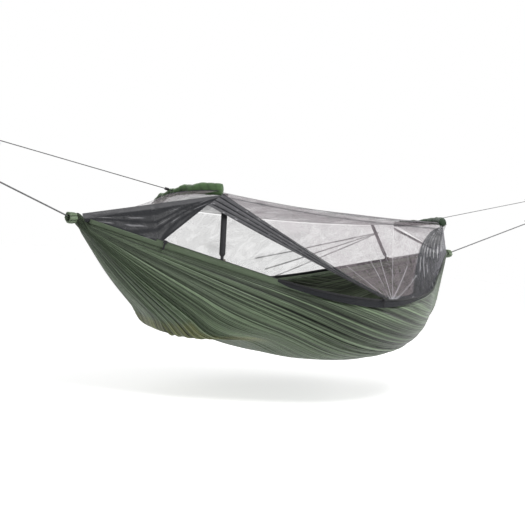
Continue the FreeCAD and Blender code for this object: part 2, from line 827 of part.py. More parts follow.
def make_near_ends():
    """The bunched panel beside the head, up to the open door, and the panel past the foot pole."""
    count = 8
    slider_end = -(size("near_head_slider_place") + 14)
    lower = [net_foot(x, NEAR) for x in spaced(-(belly_reach - 40), slider_end, count)]
    top = pole_point(HEAD, NEAR, -6) - Z_AXIS * (sleeve_radius + skin_gap + 5) - X_AXIS * 14
    upper = straight_line(side_start(HEAD, NEAR), top, 2 * count)
    low_panel = ruled_grid(upper[:count + 1], lower, 6)
    feature("net_near_head", sheet_solid(low_panel, size("net_cloth")))
    gap = X_AXIS * 0.8
    under_roof = (upper[count] + gap, upper[-1] + gap)
    feature("net_near_gusset", plate_between(under_roof, (lower[-1] + gap, door_peak), size("net_cloth")))
    edge = end_side_edge(FOOT, NEAR, count)
    foot = [net_foot(x, NEAR) for x in spaced(belly_reach - 8, 810, count)]
    feature("net_near_foot", sheet_solid(ruled_grid(edge, foot, 5), size("net_cloth")))


# ---------------------------------------------------------------- side straps

STRAPS = {
    "near": (NEAR, roof_point(-0.9, 0.03), -667.0),
    "far": (FAR, roof_point(0.86, 0.86) - Z_AXIS * 1.4, 862.0),
}


def strap_frame(name):
    """Local Z up the strap from its toggle, local X across it, with the toggle at zero."""
    side, top, x = STRAPS[name]
    top = top - Z_AXIS * (size("net_cloth") / 2 + seat + 0.6)
    toggle = rim_offset(x, side, net_inward - size("toggle_thick") - 14, 2)
    up = (top - toggle).normalize()
    across = up.cross(Z_AXIS).normalize()
    if across.dot(rim_direction(x, side)) < 0:
        across = -across
    return FreeCAD.Placement(toggle, FreeCAD.Rotation(across, up.cross(across), up, "ZXY")), (top - toggle).Length


def make_strap(name):
    """A webbing strap, with a rivet at its foot that carries a turning toggle."""
    frame, length = strap_frame(name)
    label = name + "_side_strap"
    half, thick = size("strap_width") / 2, size("strap_thick")
    tongue = size("rivet_diameter") / 2 + 3
    body = doc.addObject("PartDesign::Body", label)
    outline = [V(-tongue, -tongue, 0), V(tongue, -tongue, 0), V(tongue, 16, 0), V(half, 26, 0),
               V(half, length, 0), V(-half, length, 0), V(-half, 26, 0), V(-tongue, 16, 0)]
    web = closed_sketch(body, label + "_outline", "XZ_Plane", [outline])
    pad(body, label + "_web", web, "Sizes.strap_thick")
    rivet = closed_sketch(body, label + "_rivet_outline", "XZ_Plane",
                          [("circle", V(0, 0, 0), size("rivet_diameter") / 2)])
    rivet.AttachmentOffset = FreeCAD.Placement(
        V(0, 0, -(size("toggle_thick") + seat + 1.0) / 2), FreeCAD.Rotation())
    pad(body, label + "_rivet", rivet, "Sizes.toggle_thick + Sizes.seat + 1 + Sizes.strap_thick")
    place(body, label, frame)
    toggle_label = name + "_strap_toggle"
    toggle = doc.addObject("PartDesign::Body", toggle_label)
    long_half, short_half = size("toggle_length") / 2, size("toggle_width") / 2
    corner = short_half * 0.45
    bar = [V(-long_half, -short_half + corner, 0), V(-long_half + corner, -short_half, 0),
           V(long_half - corner, -short_half, 0), V(long_half, -short_half + corner, 0),
           V(long_half, short_half - corner, 0), V(long_half - corner, short_half, 0),
           V(-long_half + corner, short_half, 0), V(-long_half, short_half - corner, 0)]
    bore = ("circle", V(0, 0, 0), size("rivet_diameter") / 2 + size("pin_play"))
    sketch = closed_sketch(toggle, toggle_label + "_outline", "XZ_Plane", [bar, bore])
    pad(toggle, toggle_label + "_bar", sketch, "Sizes.toggle_thick")
    forward = FreeCAD.Placement(V(0, thick / 2 + seat + size("toggle_thick") / 2, 0), FreeCAD.Rotation())
    place(toggle, toggle_label, frame.multiply(forward))


# ---------------------------------------------------------------- ropes and eyes


def make_rope(name):
    """A taut rope: one straight run from the hammock to just short of its knot."""
    kind, end, run, slope = ROPES[name]
    skip = tab_end(end) + size("line_lock_length") + 2 * seat
    if kind == "rope":
        angle = math.radians(size(slope))
        skip = (size("frill_length") + seat + size("rope_diameter") / 2 * math.sin(angle)) / math.cos(angle)
    tube = primitive("Cylinder", name, Radius=f"Sizes.{kind}_diameter / 2")
    tube.setExpression("Height", f"Sizes.{run} - {skip}")
    direction = along(slope, end)
    turned = FreeCAD.Rotation(Z_AXIS, direction)
    place(tube, name, FreeCAD.Placement(rope_root(name) + direction * skip, turned))


def make_eye(name):
    """A rope's end: a knot and the loop that goes over a hook."""
    kind = ROPES[name][0]
    label = name + "_eye"
    loop = primitive("Torus", label + "_loop", Radius1=f"Sizes.{kind}_eye_radius", Radius2=f"Sizes.{kind}_diameter / 2")
    loop.Placement = FreeCAD.Placement(eye_centre(name), FreeCAD.Rotation(X_AXIS, 90))
    knot = primitive("Sphere", label + "_knot", Radius=f"Sizes.{kind}_knot_radius")
    knot.Placement = FreeCAD.Placement(knot_centre(name), FreeCAD.Rotation())
    place(boolean("Fuse", label, loop, knot), label)


# ---------------------------------------------------------------- build

make_layers()
for hammock_end in (HEAD, FOOT):
    make_gather(hammock_end)
    make_lashing(hammock_end)
    make_pole(hammock_end)
    make_sleeve(hammock_end)
    make_line_tab(hammock_end)
    make_end_roof(hammock_end)
for rim_side in (NEAR, FAR):
    make_rim(rim_side)
make_sliders()
make_roof()
make_far_net()
make_door()
make_near_ends()
for strap_name in STRAPS:
    make_strap(strap_name)
for rope_name in ROPES:
    make_rope(rope_name)
    make_eye(rope_name)

doc.recompute()

for obj in doc.Objects:
    if "Invalid" in obj.State or "Error" in obj.State:
        raise RuntimeError(f"{obj.Label} failed: {obj.State}")
for obj in SUB_PARTS:
    if obj.Shape.isNull() or not obj.Shape.isValid() or not obj.Shape.Solids:
        raise RuntimeError(f"{obj.Label} has no valid solid")

for obj in SUB_PARTS:
    obj.Shape.exportStep(f"parts/{obj.Label}.step")

print(len(SUB_PARTS), "sub-parts")
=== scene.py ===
import json
import math

import bpy
import numpy as np
from bpy.props import FloatProperty, FloatVectorProperty, IntProperty, PointerProperty
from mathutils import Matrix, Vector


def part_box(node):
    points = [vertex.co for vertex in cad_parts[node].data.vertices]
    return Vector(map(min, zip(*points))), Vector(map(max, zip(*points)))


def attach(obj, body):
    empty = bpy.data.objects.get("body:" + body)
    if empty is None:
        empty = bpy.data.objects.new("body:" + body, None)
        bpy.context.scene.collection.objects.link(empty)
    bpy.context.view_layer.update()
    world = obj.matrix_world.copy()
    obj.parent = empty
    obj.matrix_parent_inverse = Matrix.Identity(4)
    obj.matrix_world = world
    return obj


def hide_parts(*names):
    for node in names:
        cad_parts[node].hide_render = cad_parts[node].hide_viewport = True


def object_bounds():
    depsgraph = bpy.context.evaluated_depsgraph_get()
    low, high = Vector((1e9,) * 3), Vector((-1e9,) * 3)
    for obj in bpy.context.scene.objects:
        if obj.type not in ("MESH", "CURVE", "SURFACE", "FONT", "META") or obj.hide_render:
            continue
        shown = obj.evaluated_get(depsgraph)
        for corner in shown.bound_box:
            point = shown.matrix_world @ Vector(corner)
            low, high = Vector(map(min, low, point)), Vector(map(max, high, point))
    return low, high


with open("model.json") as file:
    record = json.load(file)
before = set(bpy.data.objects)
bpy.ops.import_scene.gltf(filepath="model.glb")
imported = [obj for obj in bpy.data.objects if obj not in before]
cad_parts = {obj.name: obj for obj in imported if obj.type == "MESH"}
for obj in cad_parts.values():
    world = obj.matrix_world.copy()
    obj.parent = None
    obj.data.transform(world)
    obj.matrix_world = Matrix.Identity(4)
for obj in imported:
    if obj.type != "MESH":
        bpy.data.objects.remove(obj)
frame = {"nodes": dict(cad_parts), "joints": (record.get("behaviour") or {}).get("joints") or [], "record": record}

CAD_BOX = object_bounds()

bl_info = {
    "name": "Camping Hammock",
    "version": (1, 0, 0),
    "blender": (4, 5, 0),
    "location": "View3D > Sidebar > Hammock",
    "description": "Builds a gathered-end camping hammock with its insect net, poles, zips and ropes",
    "category": "Object",
}

NEAR, FAR = -1, 1
HEAD, FOOT = -1, 1
SIDES = {"near": NEAR, "far": FAR}
ENDS = {"head": HEAD, "foot": FOOT}
X, Y, Z = np.eye(3)

# Places along the rims, in metres from the middle towards the foot.
FLAP_START = -0.48       # the zip flap's first point; the head slider stops short of it
SIDE_PANEL_HEAD = -0.64  # where the far side panel meets the far head panel
SIDE_PANEL_FOOT = 0.89   # where it meets the far foot panel
NEAR_PANEL_FOOT = 0.80   # where the near side panel meets the near foot panel
LATCH = 0.016            # where the bunched door comes down to the zip
GUSSET_START = -0.866    # where the near head panel meets its gusset, 14 mm past the head slider
BED_HEAD = -0.66         # the bed's corner at the head, where the ramp meets the flat part

# Each bent pole: its place along the ridge, its height over it, and its lean and turn in degrees.
POLE_PLACES = {HEAD: (0.688, 0.141, 10.4, 5.5), FOOT: (0.963, 0.157, 2.3, -13.0)}

# The camera's place from the middle, its yaw, pitch and roll in degrees, and its lens in millimetres.
CAMERA_PLACE = (-2.8178, -2.9715, -0.0548)
CAMERA_TURN = (-41.5822, 0.9089, 4.7424)
CAMERA_LENS = 61.54

# Each soft lamp: its name, its place from the middle, its width and its power.
LAMPS = (("Key Lamp", (-0.5, -2.5, 3.1), 1.5, 112.0),
         ("Fill Lamp", (4.0, -1.5, 1.5), 1.4, 34.0),
         ("Back Lamp", (0.6, 3.2, 2.6), 2.6, 24.0))
LAMP_TARGET = (0, 0, -0.2)

# Painted highlights along creases of the near side panel: from and to, as shares down and along it, and their
# strength.
GLINTS = (((0.99, 0.505), (0.45, 0.510), 0.75), ((0.99, 0.51), (0.42, 0.57), 0.85),
          ((0.99, 0.51), (0.50, 0.63), 0.70), ((0.98, 0.51), (0.62, 0.69), 0.80),
          ((0.98, 0.52), (0.75, 0.72), 0.65), ((0.97, 0.49), (0.80, 0.40), 0.65),
          ((0.60, 0.70), (0.30, 0.78), 0.60), ((0.75, 0.58), (0.40, 0.60), 0.55))


def box_centre(node):
    """Middle of a node's box, in metres."""
    low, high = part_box(node)
    return (np.array(low) + np.array(high)) / 2


# The hammock's own middle: halfway between the two lashed ends, on the ridge line.
MIDDLE = (box_centre("head_lashing") + box_centre("foot_lashing")) / 2


# ---------------------------------------------------------------- sizes and colours


def length(name, default, description):
    """A size in metres."""
    return FloatProperty(name=name, default=default, description=description,
                         unit="LENGTH", subtype="DISTANCE")


def angle(name, degrees, description):
    """A turn, given in degrees."""
    return FloatProperty(name=name, default=math.radians(degrees), description=description,
                         unit="ROTATION", subtype="ANGLE")


def colour(name, default, description):
    """A finish's colour."""
    return FloatVectorProperty(name=name, default=default, description=description,
                               size=3, min=0.0, max=1.0, subtype="COLOR")


class HammockSizes(bpy.types.PropertyGroup):
    """Sizes of the cloth, net, poles and cords"""
    half_ridge: length("Half ridge", 1.15, "From the middle to a lashed end")
    belly_reach: length("Belly reach", 1.088, "From the middle to where the cloth starts to bunch")
    rim_drop: length("Rim drop", 0.611, "From the ridge line to a rim, at the middle")
    rim_radius: length("Rim radius", 0.918, "Radius of a rim's middle arc")
    rim_tilt: angle("Rim tilt", 24.2, "How far a rim's plane falls below level")
    rim_lift: length("Rim lift", 0.018, "Height of the rims above the lashed ends")
    belly_depth: length("Belly depth", 0.275, "From the rims to the flat bed")
    head_ramp: length("Head ramp", 0.5, "Length over which the head end falls to the bed")
    foot_ramp: length("Foot ramp", 0.27, "Length over which the foot end falls to the bed")
    band_height: length("Band height", 0.016, "Height of the folded hem on a rim")
    band_thick: length("Band thickness", 0.004, "Thickness of the folded hem")
    neck_radius: length("Neck radius", 0.0108, "Radius of the bunched cloth under its lashing")
    rope: length("Rope diameter", 0.006, "Main rope")
    line: length("Line diameter", 0.0036, "Net line")
    pole_chord: length("Pole chord", 0.4, "Straight distance between a pole's ends")
    pole_bow: length("Pole bow", 0.075, "How far a pole bends from straight")
    pole_rise: angle("Pole rise", 15, "How far a bent pole turns up")
    sleeve: length("Sleeve radius", 0.011, "Outer radius of a pole's sleeve")
    roof_sag: length("Roof sag", 0.022, "How far the net's roof hangs at its middle")
    pleat: length("Pleat height", 0.0050, "Height of the folds that run from the lashed ends")
    pleats: IntProperty(name="Pleats", default=26, min=4, description="Folds around the cloth at each end")


class HammockColours(bpy.types.PropertyGroup):
    """Colours of the finishes"""
    body: colour("Body cloth", (0.130, 0.176, 0.108), "Olive ripstop of the body")
    bed: colour("Bed cloth", (0.105, 0.132, 0.085), "Inner layer of the body")
    lower: colour("Lower edge", (0.17, 0.19, 0.085), "Sunlit underside of the double bottom")
    sleeve: colour("Head sleeve", (0.075, 0.135, 0.055), "Sleeve of the head pole")
    foot_sleeve: colour("Foot sleeve", (0.035, 0.062, 0.035), "Sleeve of the foot pole")
    webbing: colour("Webbing", (0.013, 0.0135, 0.016), "Hems, straps and tabs")
    zip: colour("Zip", (0.016, 0.016, 0.019), "Zip tape and coil")
    bunched: colour("Bunched net", (0.010, 0.011, 0.014), "Insect net in folds and hems")
    net: colour("Net", (0.50, 0.43, 0.46), "Insect net")
    rope: colour("Rope", (0.16, 0.16, 0.165), "Main ropes and net lines")
    lashing: colour("Lashing", (0.075, 0.095, 0.055), "Cord around the bunched ends")
    toggle: colour("Toggle", (0.09, 0.075, 0.045), "Strap toggles")
    floor: colour("Floor", (0.86, 0.86, 0.86), "Plain floor")


# ---------------------------------------------------------------- surfaces


def add_surface(name, points, closed_around=False, capped=False, flip=False, values=None):
    """A mesh on a grid of points (rows, columns, 3), with its UV map in metres along and across.

    u is the mean distance walked along the rows, v the mean distance walked along the columns.
    values holds named numbers for each point, such as how densely the net is bunched.
    """
    points = np.asarray(points, dtype=float)
    rows, columns = points.shape[:2]
    ring = np.concatenate([points, points[:, :1]], 1) if closed_around else points
    spans = ring.shape[1] - 1
    row, column = np.meshgrid(np.arange(rows - 1), np.arange(spans), indexing="ij")
    ahead = (column + 1) % columns
    quads = np.stack([row * columns + column, row * columns + ahead,
                      (row + 1) * columns + ahead, (row + 1) * columns + column], -1).reshape(-1, 4)
    steps_u = np.linalg.norm(np.diff(points, axis=0), axis=2).mean(1)
    steps_v = np.linalg.norm(np.diff(ring, axis=1), axis=2).mean(0)
    u = np.concatenate([[0], np.cumsum(steps_u)])
    v = np.concatenate([[0], np.cumsum(steps_v)])
    corners = ((row, column), (row, column + 1), (row + 1, column + 1), (row + 1, column))
    uv = np.stack([np.stack([u[i], v[k]], -1) for i, k in corners], 2).reshape(-1, 4, 2)
    if flip:
        quads, uv = quads[:, ::-1], uv[:, ::-1]
    faces = quads.tolist()
    uv = uv.reshape(-1, 2)
    if capped:
        first, last = list(range(columns)), list(range((rows - 1) * columns, rows * columns))
        faces += [first, last[::-1]] if flip else [first[::-1], last]
        uv = np.concatenate([uv, np.zeros((2 * columns, 2))])
    mesh = bpy.data.meshes.new(name)
    mesh.from_pydata(points.reshape(-1, 3).tolist(), [], faces)
    layer = mesh.uv_layers.new(name="UVMap")
    layer.data.foreach_set("uv", uv.astype(np.float32).ravel())
    for key, numbers in (values or {}).items():
        attribute = mesh.attributes.new(key, "FLOAT", "POINT")
        spread = np.broadcast_to(numbers, (rows, columns))
        attribute.data.foreach_set("value", spread.astype(np.float32).ravel())
    mesh.polygons.foreach_set("use_smooth", np.ones(len(faces), dtype=bool))
    mesh.update()
    piece = bpy.data.objects.new(name, mesh)
    bpy.context.scene.collection.objects.link(piece)
    return piece


def join_pieces(name, parts):
    """Several meshes made one object that keeps their UV maps."""
    with bpy.context.temp_override(active_object=parts[0], object=parts[0],
                                   selected_objects=parts, selected_editable_objects=parts):
        bpy.ops.object.join()
    parts[0].name = parts[0].data.name = name
    return parts[0]


def unit(vectors):
    """The same directions, one metre long."""
    return vectors / np.maximum(np.linalg.norm(vectors, axis=-1, keepdims=True), 1e-12)


def smooth(t):
    """0 below 0, 1 above 1 and an even ease between."""
    t = np.clip(t, 0, 1)
    return t * t * (3 - 2 * t)


def waves(u, v, seed, count=6, low=2.0, high=9.0):
    """Soft uneven noise in -1 to 1: a sum of sine waves with fixed random directions and phases."""
    rng = np.random.default_rng(seed)
    total = np.zeros(np.broadcast(u, v).shape)
    for _ in range(count):
        pitch, way, phase = rng.uniform(low, high), rng.uniform(0, math.pi), rng.uniform(0, 6.28)
        total = total + np.sin(pitch * (u * math.cos(way) + v * math.sin(way)) * 2 * math.pi + phase)
    return total / (0.6 * count)


def fold_profile(turns, sharp=0.6):
    """One fold per turn: a round crest between two sharp valleys, from -1 to 1."""
    return 2 * np.abs(np.cos(math.pi * turns)) ** sharp - 1


def sweep(path, outward, up, profile):
    """Carries a closed profile (n, 2) along a path: point + outward * first + up * second."""
    return path[:, None] + outward[:, None] * profile[None, :, :1] + up[:, None] * profile[None, :, 1:]


def rounded_bar(half_width, half_height, corner, count=3):
    """Outline of a bar with round corners, counter-clockwise."""
    outline = []
    for start, cx, cy in ((0, 1, 1), (1, -1, 1), (2, -1, -1), (3, 1, -1)):
        turn = (start + np.linspace(0, 1, count + 1)) * math.pi / 2
        outline.append(np.stack([cx * (half_width - corner) + corner * np.cos(turn),
                                 cy * (half_height - corner) + corner * np.sin(turn)], -1))
    return np.concatenate(outline)


def ring_offsets(side, up, sides):
    """Unit steps from a line out to a ring of points around it."""
    turn = np.arange(sides) / sides * 2 * math.pi
    return side[:, None] * np.cos(turn)[None, :, None] + up[:, None] * np.sin(turn)[None, :, None]


def tube(name, path, radius, hint):
    """A round cord along a path; its rings are square to the path, turned towards the hint."""
    path = np.asarray(path, dtype=float)
    tangent = unit(np.gradient(path, axis=0))
    side = unit(np.cross(tangent, hint))
    rings = ring_offsets(side, np.cross(side, tangent), 14)
    return add_surface(name, path[:, None] + rings * radius, closed_around=True, capped=True, flip=True)


def closed_tube(name, ring, radius):
    """A cord along a closed line: frames are square to the line and to its middle's direction."""
    tangent = unit(np.roll(ring, -1, 0) - np.roll(ring, 1, 0))
    side = unit(np.cross(tangent, unit(ring - ring.mean(0))))
    grid = ring[:, None] + ring_offsets(side, np.cross(side, tangent), 12) * radius
    return add_surface(name, np.concatenate([grid, grid[:1]]), closed_around=True)


def line_between(start, finish, count):
    """Evenly spaced points from start to finish."""
    t = np.linspace(0, 1, count)[:, None]
    return np.asarray(start) * (1 - t) + np.asarray(finish) * t


# ---------------------------------------------------------------- nodes


def connect(tree, node, links):
    """Sets a node's inputs: a socket links, anything else is a default value."""
    for key, value in links.items():
        socket = node.inputs[key]
        if isinstance(value, bpy.types.NodeSocket):
            tree.links.new(value, socket)
        else:
            socket.default_value = value


def add_node(tree, kind, links=None, **settings):
    """A shader node with its settings and inputs."""
    node = tree.nodes.new(kind)
    for key, value in settings.items():
        setattr(node, key, value)
    connect(tree, node, links or {})
    return node


def maths(tree, operation, *values):
    """One Math node's result."""
    return add_node(tree, "ShaderNodeMath", dict(enumerate(values)), operation=operation).outputs[0]


def parts_of(tree, vector):
    """A vector's three numbers."""
    return add_node(tree, "ShaderNodeSeparateXYZ", {0: vector}).outputs


def scaled(tree, value, factor):
    """A colour made lighter or darker by a factor."""
    return add_node(tree, "ShaderNodeVectorMath", {0: value, 3: factor}, operation="SCALE").outputs[0]


def blended(tree, factor, first, second):
    """The first colour where the factor is 0, the second where it is 1."""
    return add_node(tree, "ShaderNodeMix", {"Factor": factor, 6: first, 7: second}, data_type="RGBA").outputs[2]


def noise(tree, vector, scale, detail, **more):
    """A noise texture's grey value."""
    inputs = {"Vector": vector, "Scale": scale, "Detail": detail, **more}
    return add_node(tree, "ShaderNodeTexNoise", inputs).outputs["Fac"]


def painted(tree, key):
    """The number that the piece's points hold under this name."""
    return add_node(tree, "ShaderNodeAttribute", attribute_name=key).outputs["Fac"]


def seen_directly(tree):
    """1 for what is seen straight on, in a gloss or through the net, 0 for light between surfaces."""
    seen = add_node(tree, "ShaderNodeLightPath").outputs
    indirect = maths(tree, "MAXIMUM", seen["Is Glossy Ray"], seen["Is Transmission Ray"])
    return maths(tree, "MAXIMUM", seen["Is Camera Ray"], indirect)


# ---------------------------------------------------------------- node groups


def new_group(name, inputs, outputs):
    """An empty node group, what its input node gives, and its output node.

    Each input has its default: None for a vector, four numbers for a colour, one for a value.
    """
    group = bpy.data.node_groups.new(name, "ShaderNodeTree")
    for label, default in inputs.items():
        kind = "NodeSocketColor" if isinstance(default, tuple) else "NodeSocketFloat"
        kind = "NodeSocketVector" if default is None else kind
        socket = group.interface.new_socket(label, in_out="INPUT", socket_type=kind)
        if default is not None:
            socket.default_value = default
    for label in outputs:
        kind = "NodeSocketColor" if label == "Colour" else "NodeSocketFloat"
        group.interface.new_socket(label, in_out="OUTPUT", socket_type=kind)
    return group, group.nodes.new("NodeGroupInput").outputs, group.nodes.new("NodeGroupOutput")


def make_weave_group():
    """Plain weave: crossing threads that rise and dip in turn, with a heavier thread every few millimetres."""
    group, given, result = new_group(
        "Ripstop Weave", {"Vector": None, "Threads per Metre": 2200.0, "Ripstop Spacing": 0.005}, ["Height"])
    parts = parts_of(group, given["Vector"])
    rises, lines = [], []
    for axis in (0, 1):
        threads = maths(group, "MULTIPLY", parts[axis], given["Threads per Metre"])
        rises.append(maths(group, "SINE", maths(group, "MULTIPLY", threads, math.pi)))
        cell = maths(group, "DIVIDE", parts[axis], given["Ripstop Spacing"])
        lines.append(maths(group, "LESS_THAN", maths(group, "PINGPONG", cell, 0.5), 0.06))
    weave = maths(group, "MULTIPLY", *rises)
    grid = maths(group, "MAXIMUM", *lines)
    connect(group, result, {"Height": maths(group, "MULTIPLY_ADD", weave, 0.35, grid)})


def make_drift_group():
    """Uneven colour: large faded patches and small mottling over a base colour."""
    group, given, result = new_group(
        "Faded Patches",
        {"Vector": None, "Colour": (0.2, 0.2, 0.2, 1), "Amount": 0.2, "Patches per Metre": 5.0}, ["Colour"])
    large = noise(group, given["Vector"], given["Patches per Metre"], 4.0, Roughness=0.6)
    small_scale = maths(group, "MULTIPLY", given["Patches per Metre"], 14.0)
    small = noise(group, given["Vector"], small_scale, 2.0)
    both = maths(group, "MULTIPLY_ADD", small, 0.4, large)
    swing = maths(group, "MULTIPLY", maths(group, "SUBTRACT", both, 0.7), given["Amount"])
    factor = maths(group, "MULTIPLY_ADD", swing, 3.0, 1.0)
    connect(group, result, {"Colour": scaled(group, given["Colour"], factor)})


def make_crease_group():
    """Fine creases that run along the cloth: stretched ridged noise."""
    group, given, result = new_group(
        "Long Creases", {"Vector": None, "Across per Metre": 40.0, "Stretch": 0.08, "Detail": 5.0}, ["Height"])
    stretch = add_node(group, "ShaderNodeCombineXYZ", {0: given["Stretch"], 1: 1.0, 2: 1.0}).outputs[0]
    placed = add_node(group, "ShaderNodeVectorMath", {0: given["Vector"], 1: stretch},
                      operation="MULTIPLY").outputs[0]
    crumple = noise(group, placed, given["Across per Metre"], given["Detail"], Roughness=0.62, Distortion=0.1)
    connect(group, result, {"Height": maths(group, "ABSOLUTE", maths(group, "SUBTRACT", crumple, 0.5))})


def make_braid_group():
    """Braided sheath: two sets of strands that wind opposite ways around the cord."""
    group, given, result = new_group(
        "Braided Sheath",
        {"Vector": None, "Plaits per Metre": 180.0, "Girth": 0.019, "Strands": 6.0}, ["Height", "Shade"])
    parts = parts_of(group, given["Vector"])
    along = maths(group, "MULTIPLY", parts[0], given["Plaits per Metre"])
    around = maths(group, "MULTIPLY", maths(group, "DIVIDE", parts[1], given["Girth"]), given["Strands"])
    one, two = (maths(group, "SINE", maths(group, "MULTIPLY", maths(group, winding, along, around), math.pi))
                for winding in ("ADD", "SUBTRACT"))
    height = maths(group, "MAXIMUM", maths(group, "ABSOLUTE", one), maths(group, "ABSOLUTE", two))
    connect(group, result, {"Height": height, "Shade": maths(group, "POWER", height, 2.0)})


def make_net_group():
    """Insect net: how much of the light its threads stop, from the bunching painted on the piece."""
    group, given, result = new_group(
        "Net Threads",
        {"Vector": None, "Bunching": 0.0, "Thread Share": 0.17, "Holes per Metre": 620.0}, ["Cover", "Height"])
    parts = parts_of(group, given["Vector"])
    edges = [maths(group, "PINGPONG", maths(group, "MULTIPLY", parts[axis], given["Holes per Metre"]), 0.5)
             for axis in (0, 1)]
    thread = maths(group, "LESS_THAN", maths(group, "MINIMUM", *edges), 0.10)
    crumple = noise(group, given["Vector"], 9.0, 5.0, Roughness=0.7, Distortion=1.2)
    ridge = maths(group, "ABSOLUTE", maths(group, "SUBTRACT", crumple, 0.5))
    crease = maths(group, "LESS_THAN", ridge, 0.012)
    swing = maths(group, "MULTIPLY_ADD", crumple, 0.5, maths(group, "SUBTRACT", given["Thread Share"], 0.25))
    base = maths(group, "MAXIMUM", maths(group, "MULTIPLY_ADD", thread, 0.16, swing), 0.02)
    open_share = maths(group, "SUBTRACT", 1.0, maths(group, "MULTIPLY_ADD", crease, 0.07, base))
    layers = maths(group, "MULTIPLY_ADD", given["Bunching"], 9.0, 1.0)
    cover = maths(group, "SUBTRACT", 1.0, maths(group, "POWER", open_share, layers))
    connect(group, result, {"Cover": cover, "Height": maths(group, "MULTIPLY_ADD", ridge, -1.0, thread)})


def group_node(tree, name, links):
    """What a shared node group puts out for these inputs."""
    return add_node(tree, "ShaderNodeGroup", links, node_tree=bpy.data.node_groups[name]).outputs


# ---------------------------------------------------------------- materials


def new_finish(name):
    """A new material's tree and its Principled BSDF."""
    finish = bpy.data.materials.new(name)
    finish.use_nodes = True
    return finish.node_tree, finish.node_tree.nodes["Principled BSDF"]


def start_material(name):
    """A new material's tree, its Principled BSDF and the piece's own UV map."""
    tree, shader = new_finish(name)
    return tree, shader, add_node(tree, "ShaderNodeUVMap", uv_map="UVMap").outputs["UV"]


def rgba(value):
    """A colour with full cover."""
    return (value[0], value[1], value[2], 1.0)


def faded(tree, place, value, amount, patches):
    """A base colour with uneven faded patches."""
    return group_node(tree, "Faded Patches", {"Vector": place, "Colour": value, "Amount": amount,
                                              "Patches per Metre": patches})["Colour"]


def bump(tree, shader, height, strength, distance):
    """Gives the finish a fine relief."""
    node = add_node(tree, "ShaderNodeBump", {"Height": height, "Strength": strength, "Distance": distance})
    connect(tree, shader, {"Normal": node.outputs["Normal"]})


def fan_creases(tree, uv):
    """Fine folds along the straight lines out of the two lashings, read from the piece's own numbers: painted
    shade in their lines, painted highlight between them, and their height.
    """
    along = parts_of(tree, uv)[0]
    heights = []
    for key in ("head_line", "foot_line"):
        place = add_node(tree, "ShaderNodeCombineXYZ", {0: along, 1: painted(tree, key)}).outputs[0]
        heights.append(group_node(tree, "Long Creases", {"Vector": place, "Across per Metre": 34.0,
                                                         "Stretch": 0.012, "Detail": 2.2})["Height"])
    share = painted(tree, "foot_share")
    both = maths(tree, "MULTIPLY_ADD", share, maths(tree, "SUBTRACT", heights[1], heights[0]), heights[0])
    kept = painted(tree, "crease")
    # Painted shade along each crease line and a painted highlight between the lines.
    dark = maths(tree, "SUBTRACT", 1.0, maths(tree, "MINIMUM", maths(tree, "MULTIPLY", both, 10.0), 1.0))
    lift = maths(tree, "MULTIPLY", maths(tree, "MAXIMUM", maths(tree, "SUBTRACT", both, 0.09), 0.0), 5.0)
    swing = maths(tree, "SUBTRACT", lift, maths(tree, "MULTIPLY", dark, 0.88))
    return maths(tree, "MULTIPLY_ADD", swing, kept, 1.0), both


def cloth_material(name, value, lower=None, sheen=0.06, creases=0.5, fans=False):
    """Thin coated ripstop: weave, long creases and faded patches, with a silky sheen. Its colour carries painted
    shade in fold valleys and creases and a painted highlight on crests.
    """
    tree, shader, uv = start_material(name)
    base = blended(tree, painted(tree, "under"), rgba(value), rgba(lower or value))
    drift = faded(tree, uv, base, 0.16, 4.0)
    crease = group_node(tree, "Long Creases", {"Vector": uv, "Across per Metre": 26.0,
                                               "Stretch": 0.10})["Height"]
    weave = group_node(tree, "Ripstop Weave", {"Vector": uv})["Height"]
    # Painted shade and highlight: the piece's shade numbers darken fold valleys and lighten crests, and the
    # creases darken the colour too.
    fold = painted(tree, "shade")
    valley = maths(tree, "MULTIPLY_ADD", maths(tree, "MINIMUM", fold, 0.0), 0.90, 1.0)
    crest = maths(tree, "MULTIPLY_ADD", maths(tree, "MAXIMUM", fold, 0.0), 0.62, valley)
    shade = maths(tree, "MULTIPLY", crest, maths(tree, "MULTIPLY_ADD", crease, 0.9, 0.86))
    height = maths(tree, "MULTIPLY_ADD", weave, 0.0016, maths(tree, "MULTIPLY", crease, creases))
    if fans:
        fine, raised = fan_creases(tree, uv)
        shade = maths(tree, "MULTIPLY", shade, fine)
        height = maths(tree, "MULTIPLY_ADD", maths(tree, "MINIMUM", raised, 0.08), 1.6, height)
    shaded_colour = scaled(tree, drift, shade)
    bump(tree, shader, height, 0.9, 0.02)
    connect(tree, shader, {
        "Base Color": shaded_colour, "Roughness": maths(tree, "MULTIPLY_ADD", crease, 0.25, 0.40),
        "Specular IOR Level": 0.28, "Sheen Weight": sheen, "Sheen Roughness": 0.35,
        "Sheen Tint": (0.66, 0.80, 0.66, 1)})


def webbing_material(name, value):
    """Woven tape: heavy cross ribs and a slight fade."""
    tree, shader, uv = start_material(name)
    drift = faded(tree, uv, rgba(value), 0.3, 12.0)
    weave = group_node(tree, "Ripstop Weave", {"Vector": uv, "Threads per Metre": 700.0,
                                               "Ripstop Spacing": 0.0028})
    bump(tree, shader, weave["Height"], 0.5, 0.0008)
    connect(tree, shader, {"Base Color": drift, "Roughness": 0.6, "Specular IOR Level": 0.3,
                           "Sheen Weight": 0.1, "Sheen Roughness": 0.4})


def rope_material(name, value, gauge, plaits):
    """Braided cord with a soft matt sheath."""
    tree, shader, uv = start_material(name)
    drift = faded(tree, uv, rgba(value), 0.3, 20.0)
    braid = group_node(tree, "Braided Sheath", {"Vector": uv, "Girth": math.pi * gauge,
                                                "Plaits per Metre": plaits})
    shaded_colour = scaled(tree, drift, maths(tree, "MULTIPLY_ADD", braid["Shade"], 0.45, 0.62))
    bump(tree, shader, braid["Height"], 0.8, 0.0012)
    connect(tree, shader, {"Base Color": shaded_colour, "Roughness": 0.62, "Sheen Weight": 0.2})


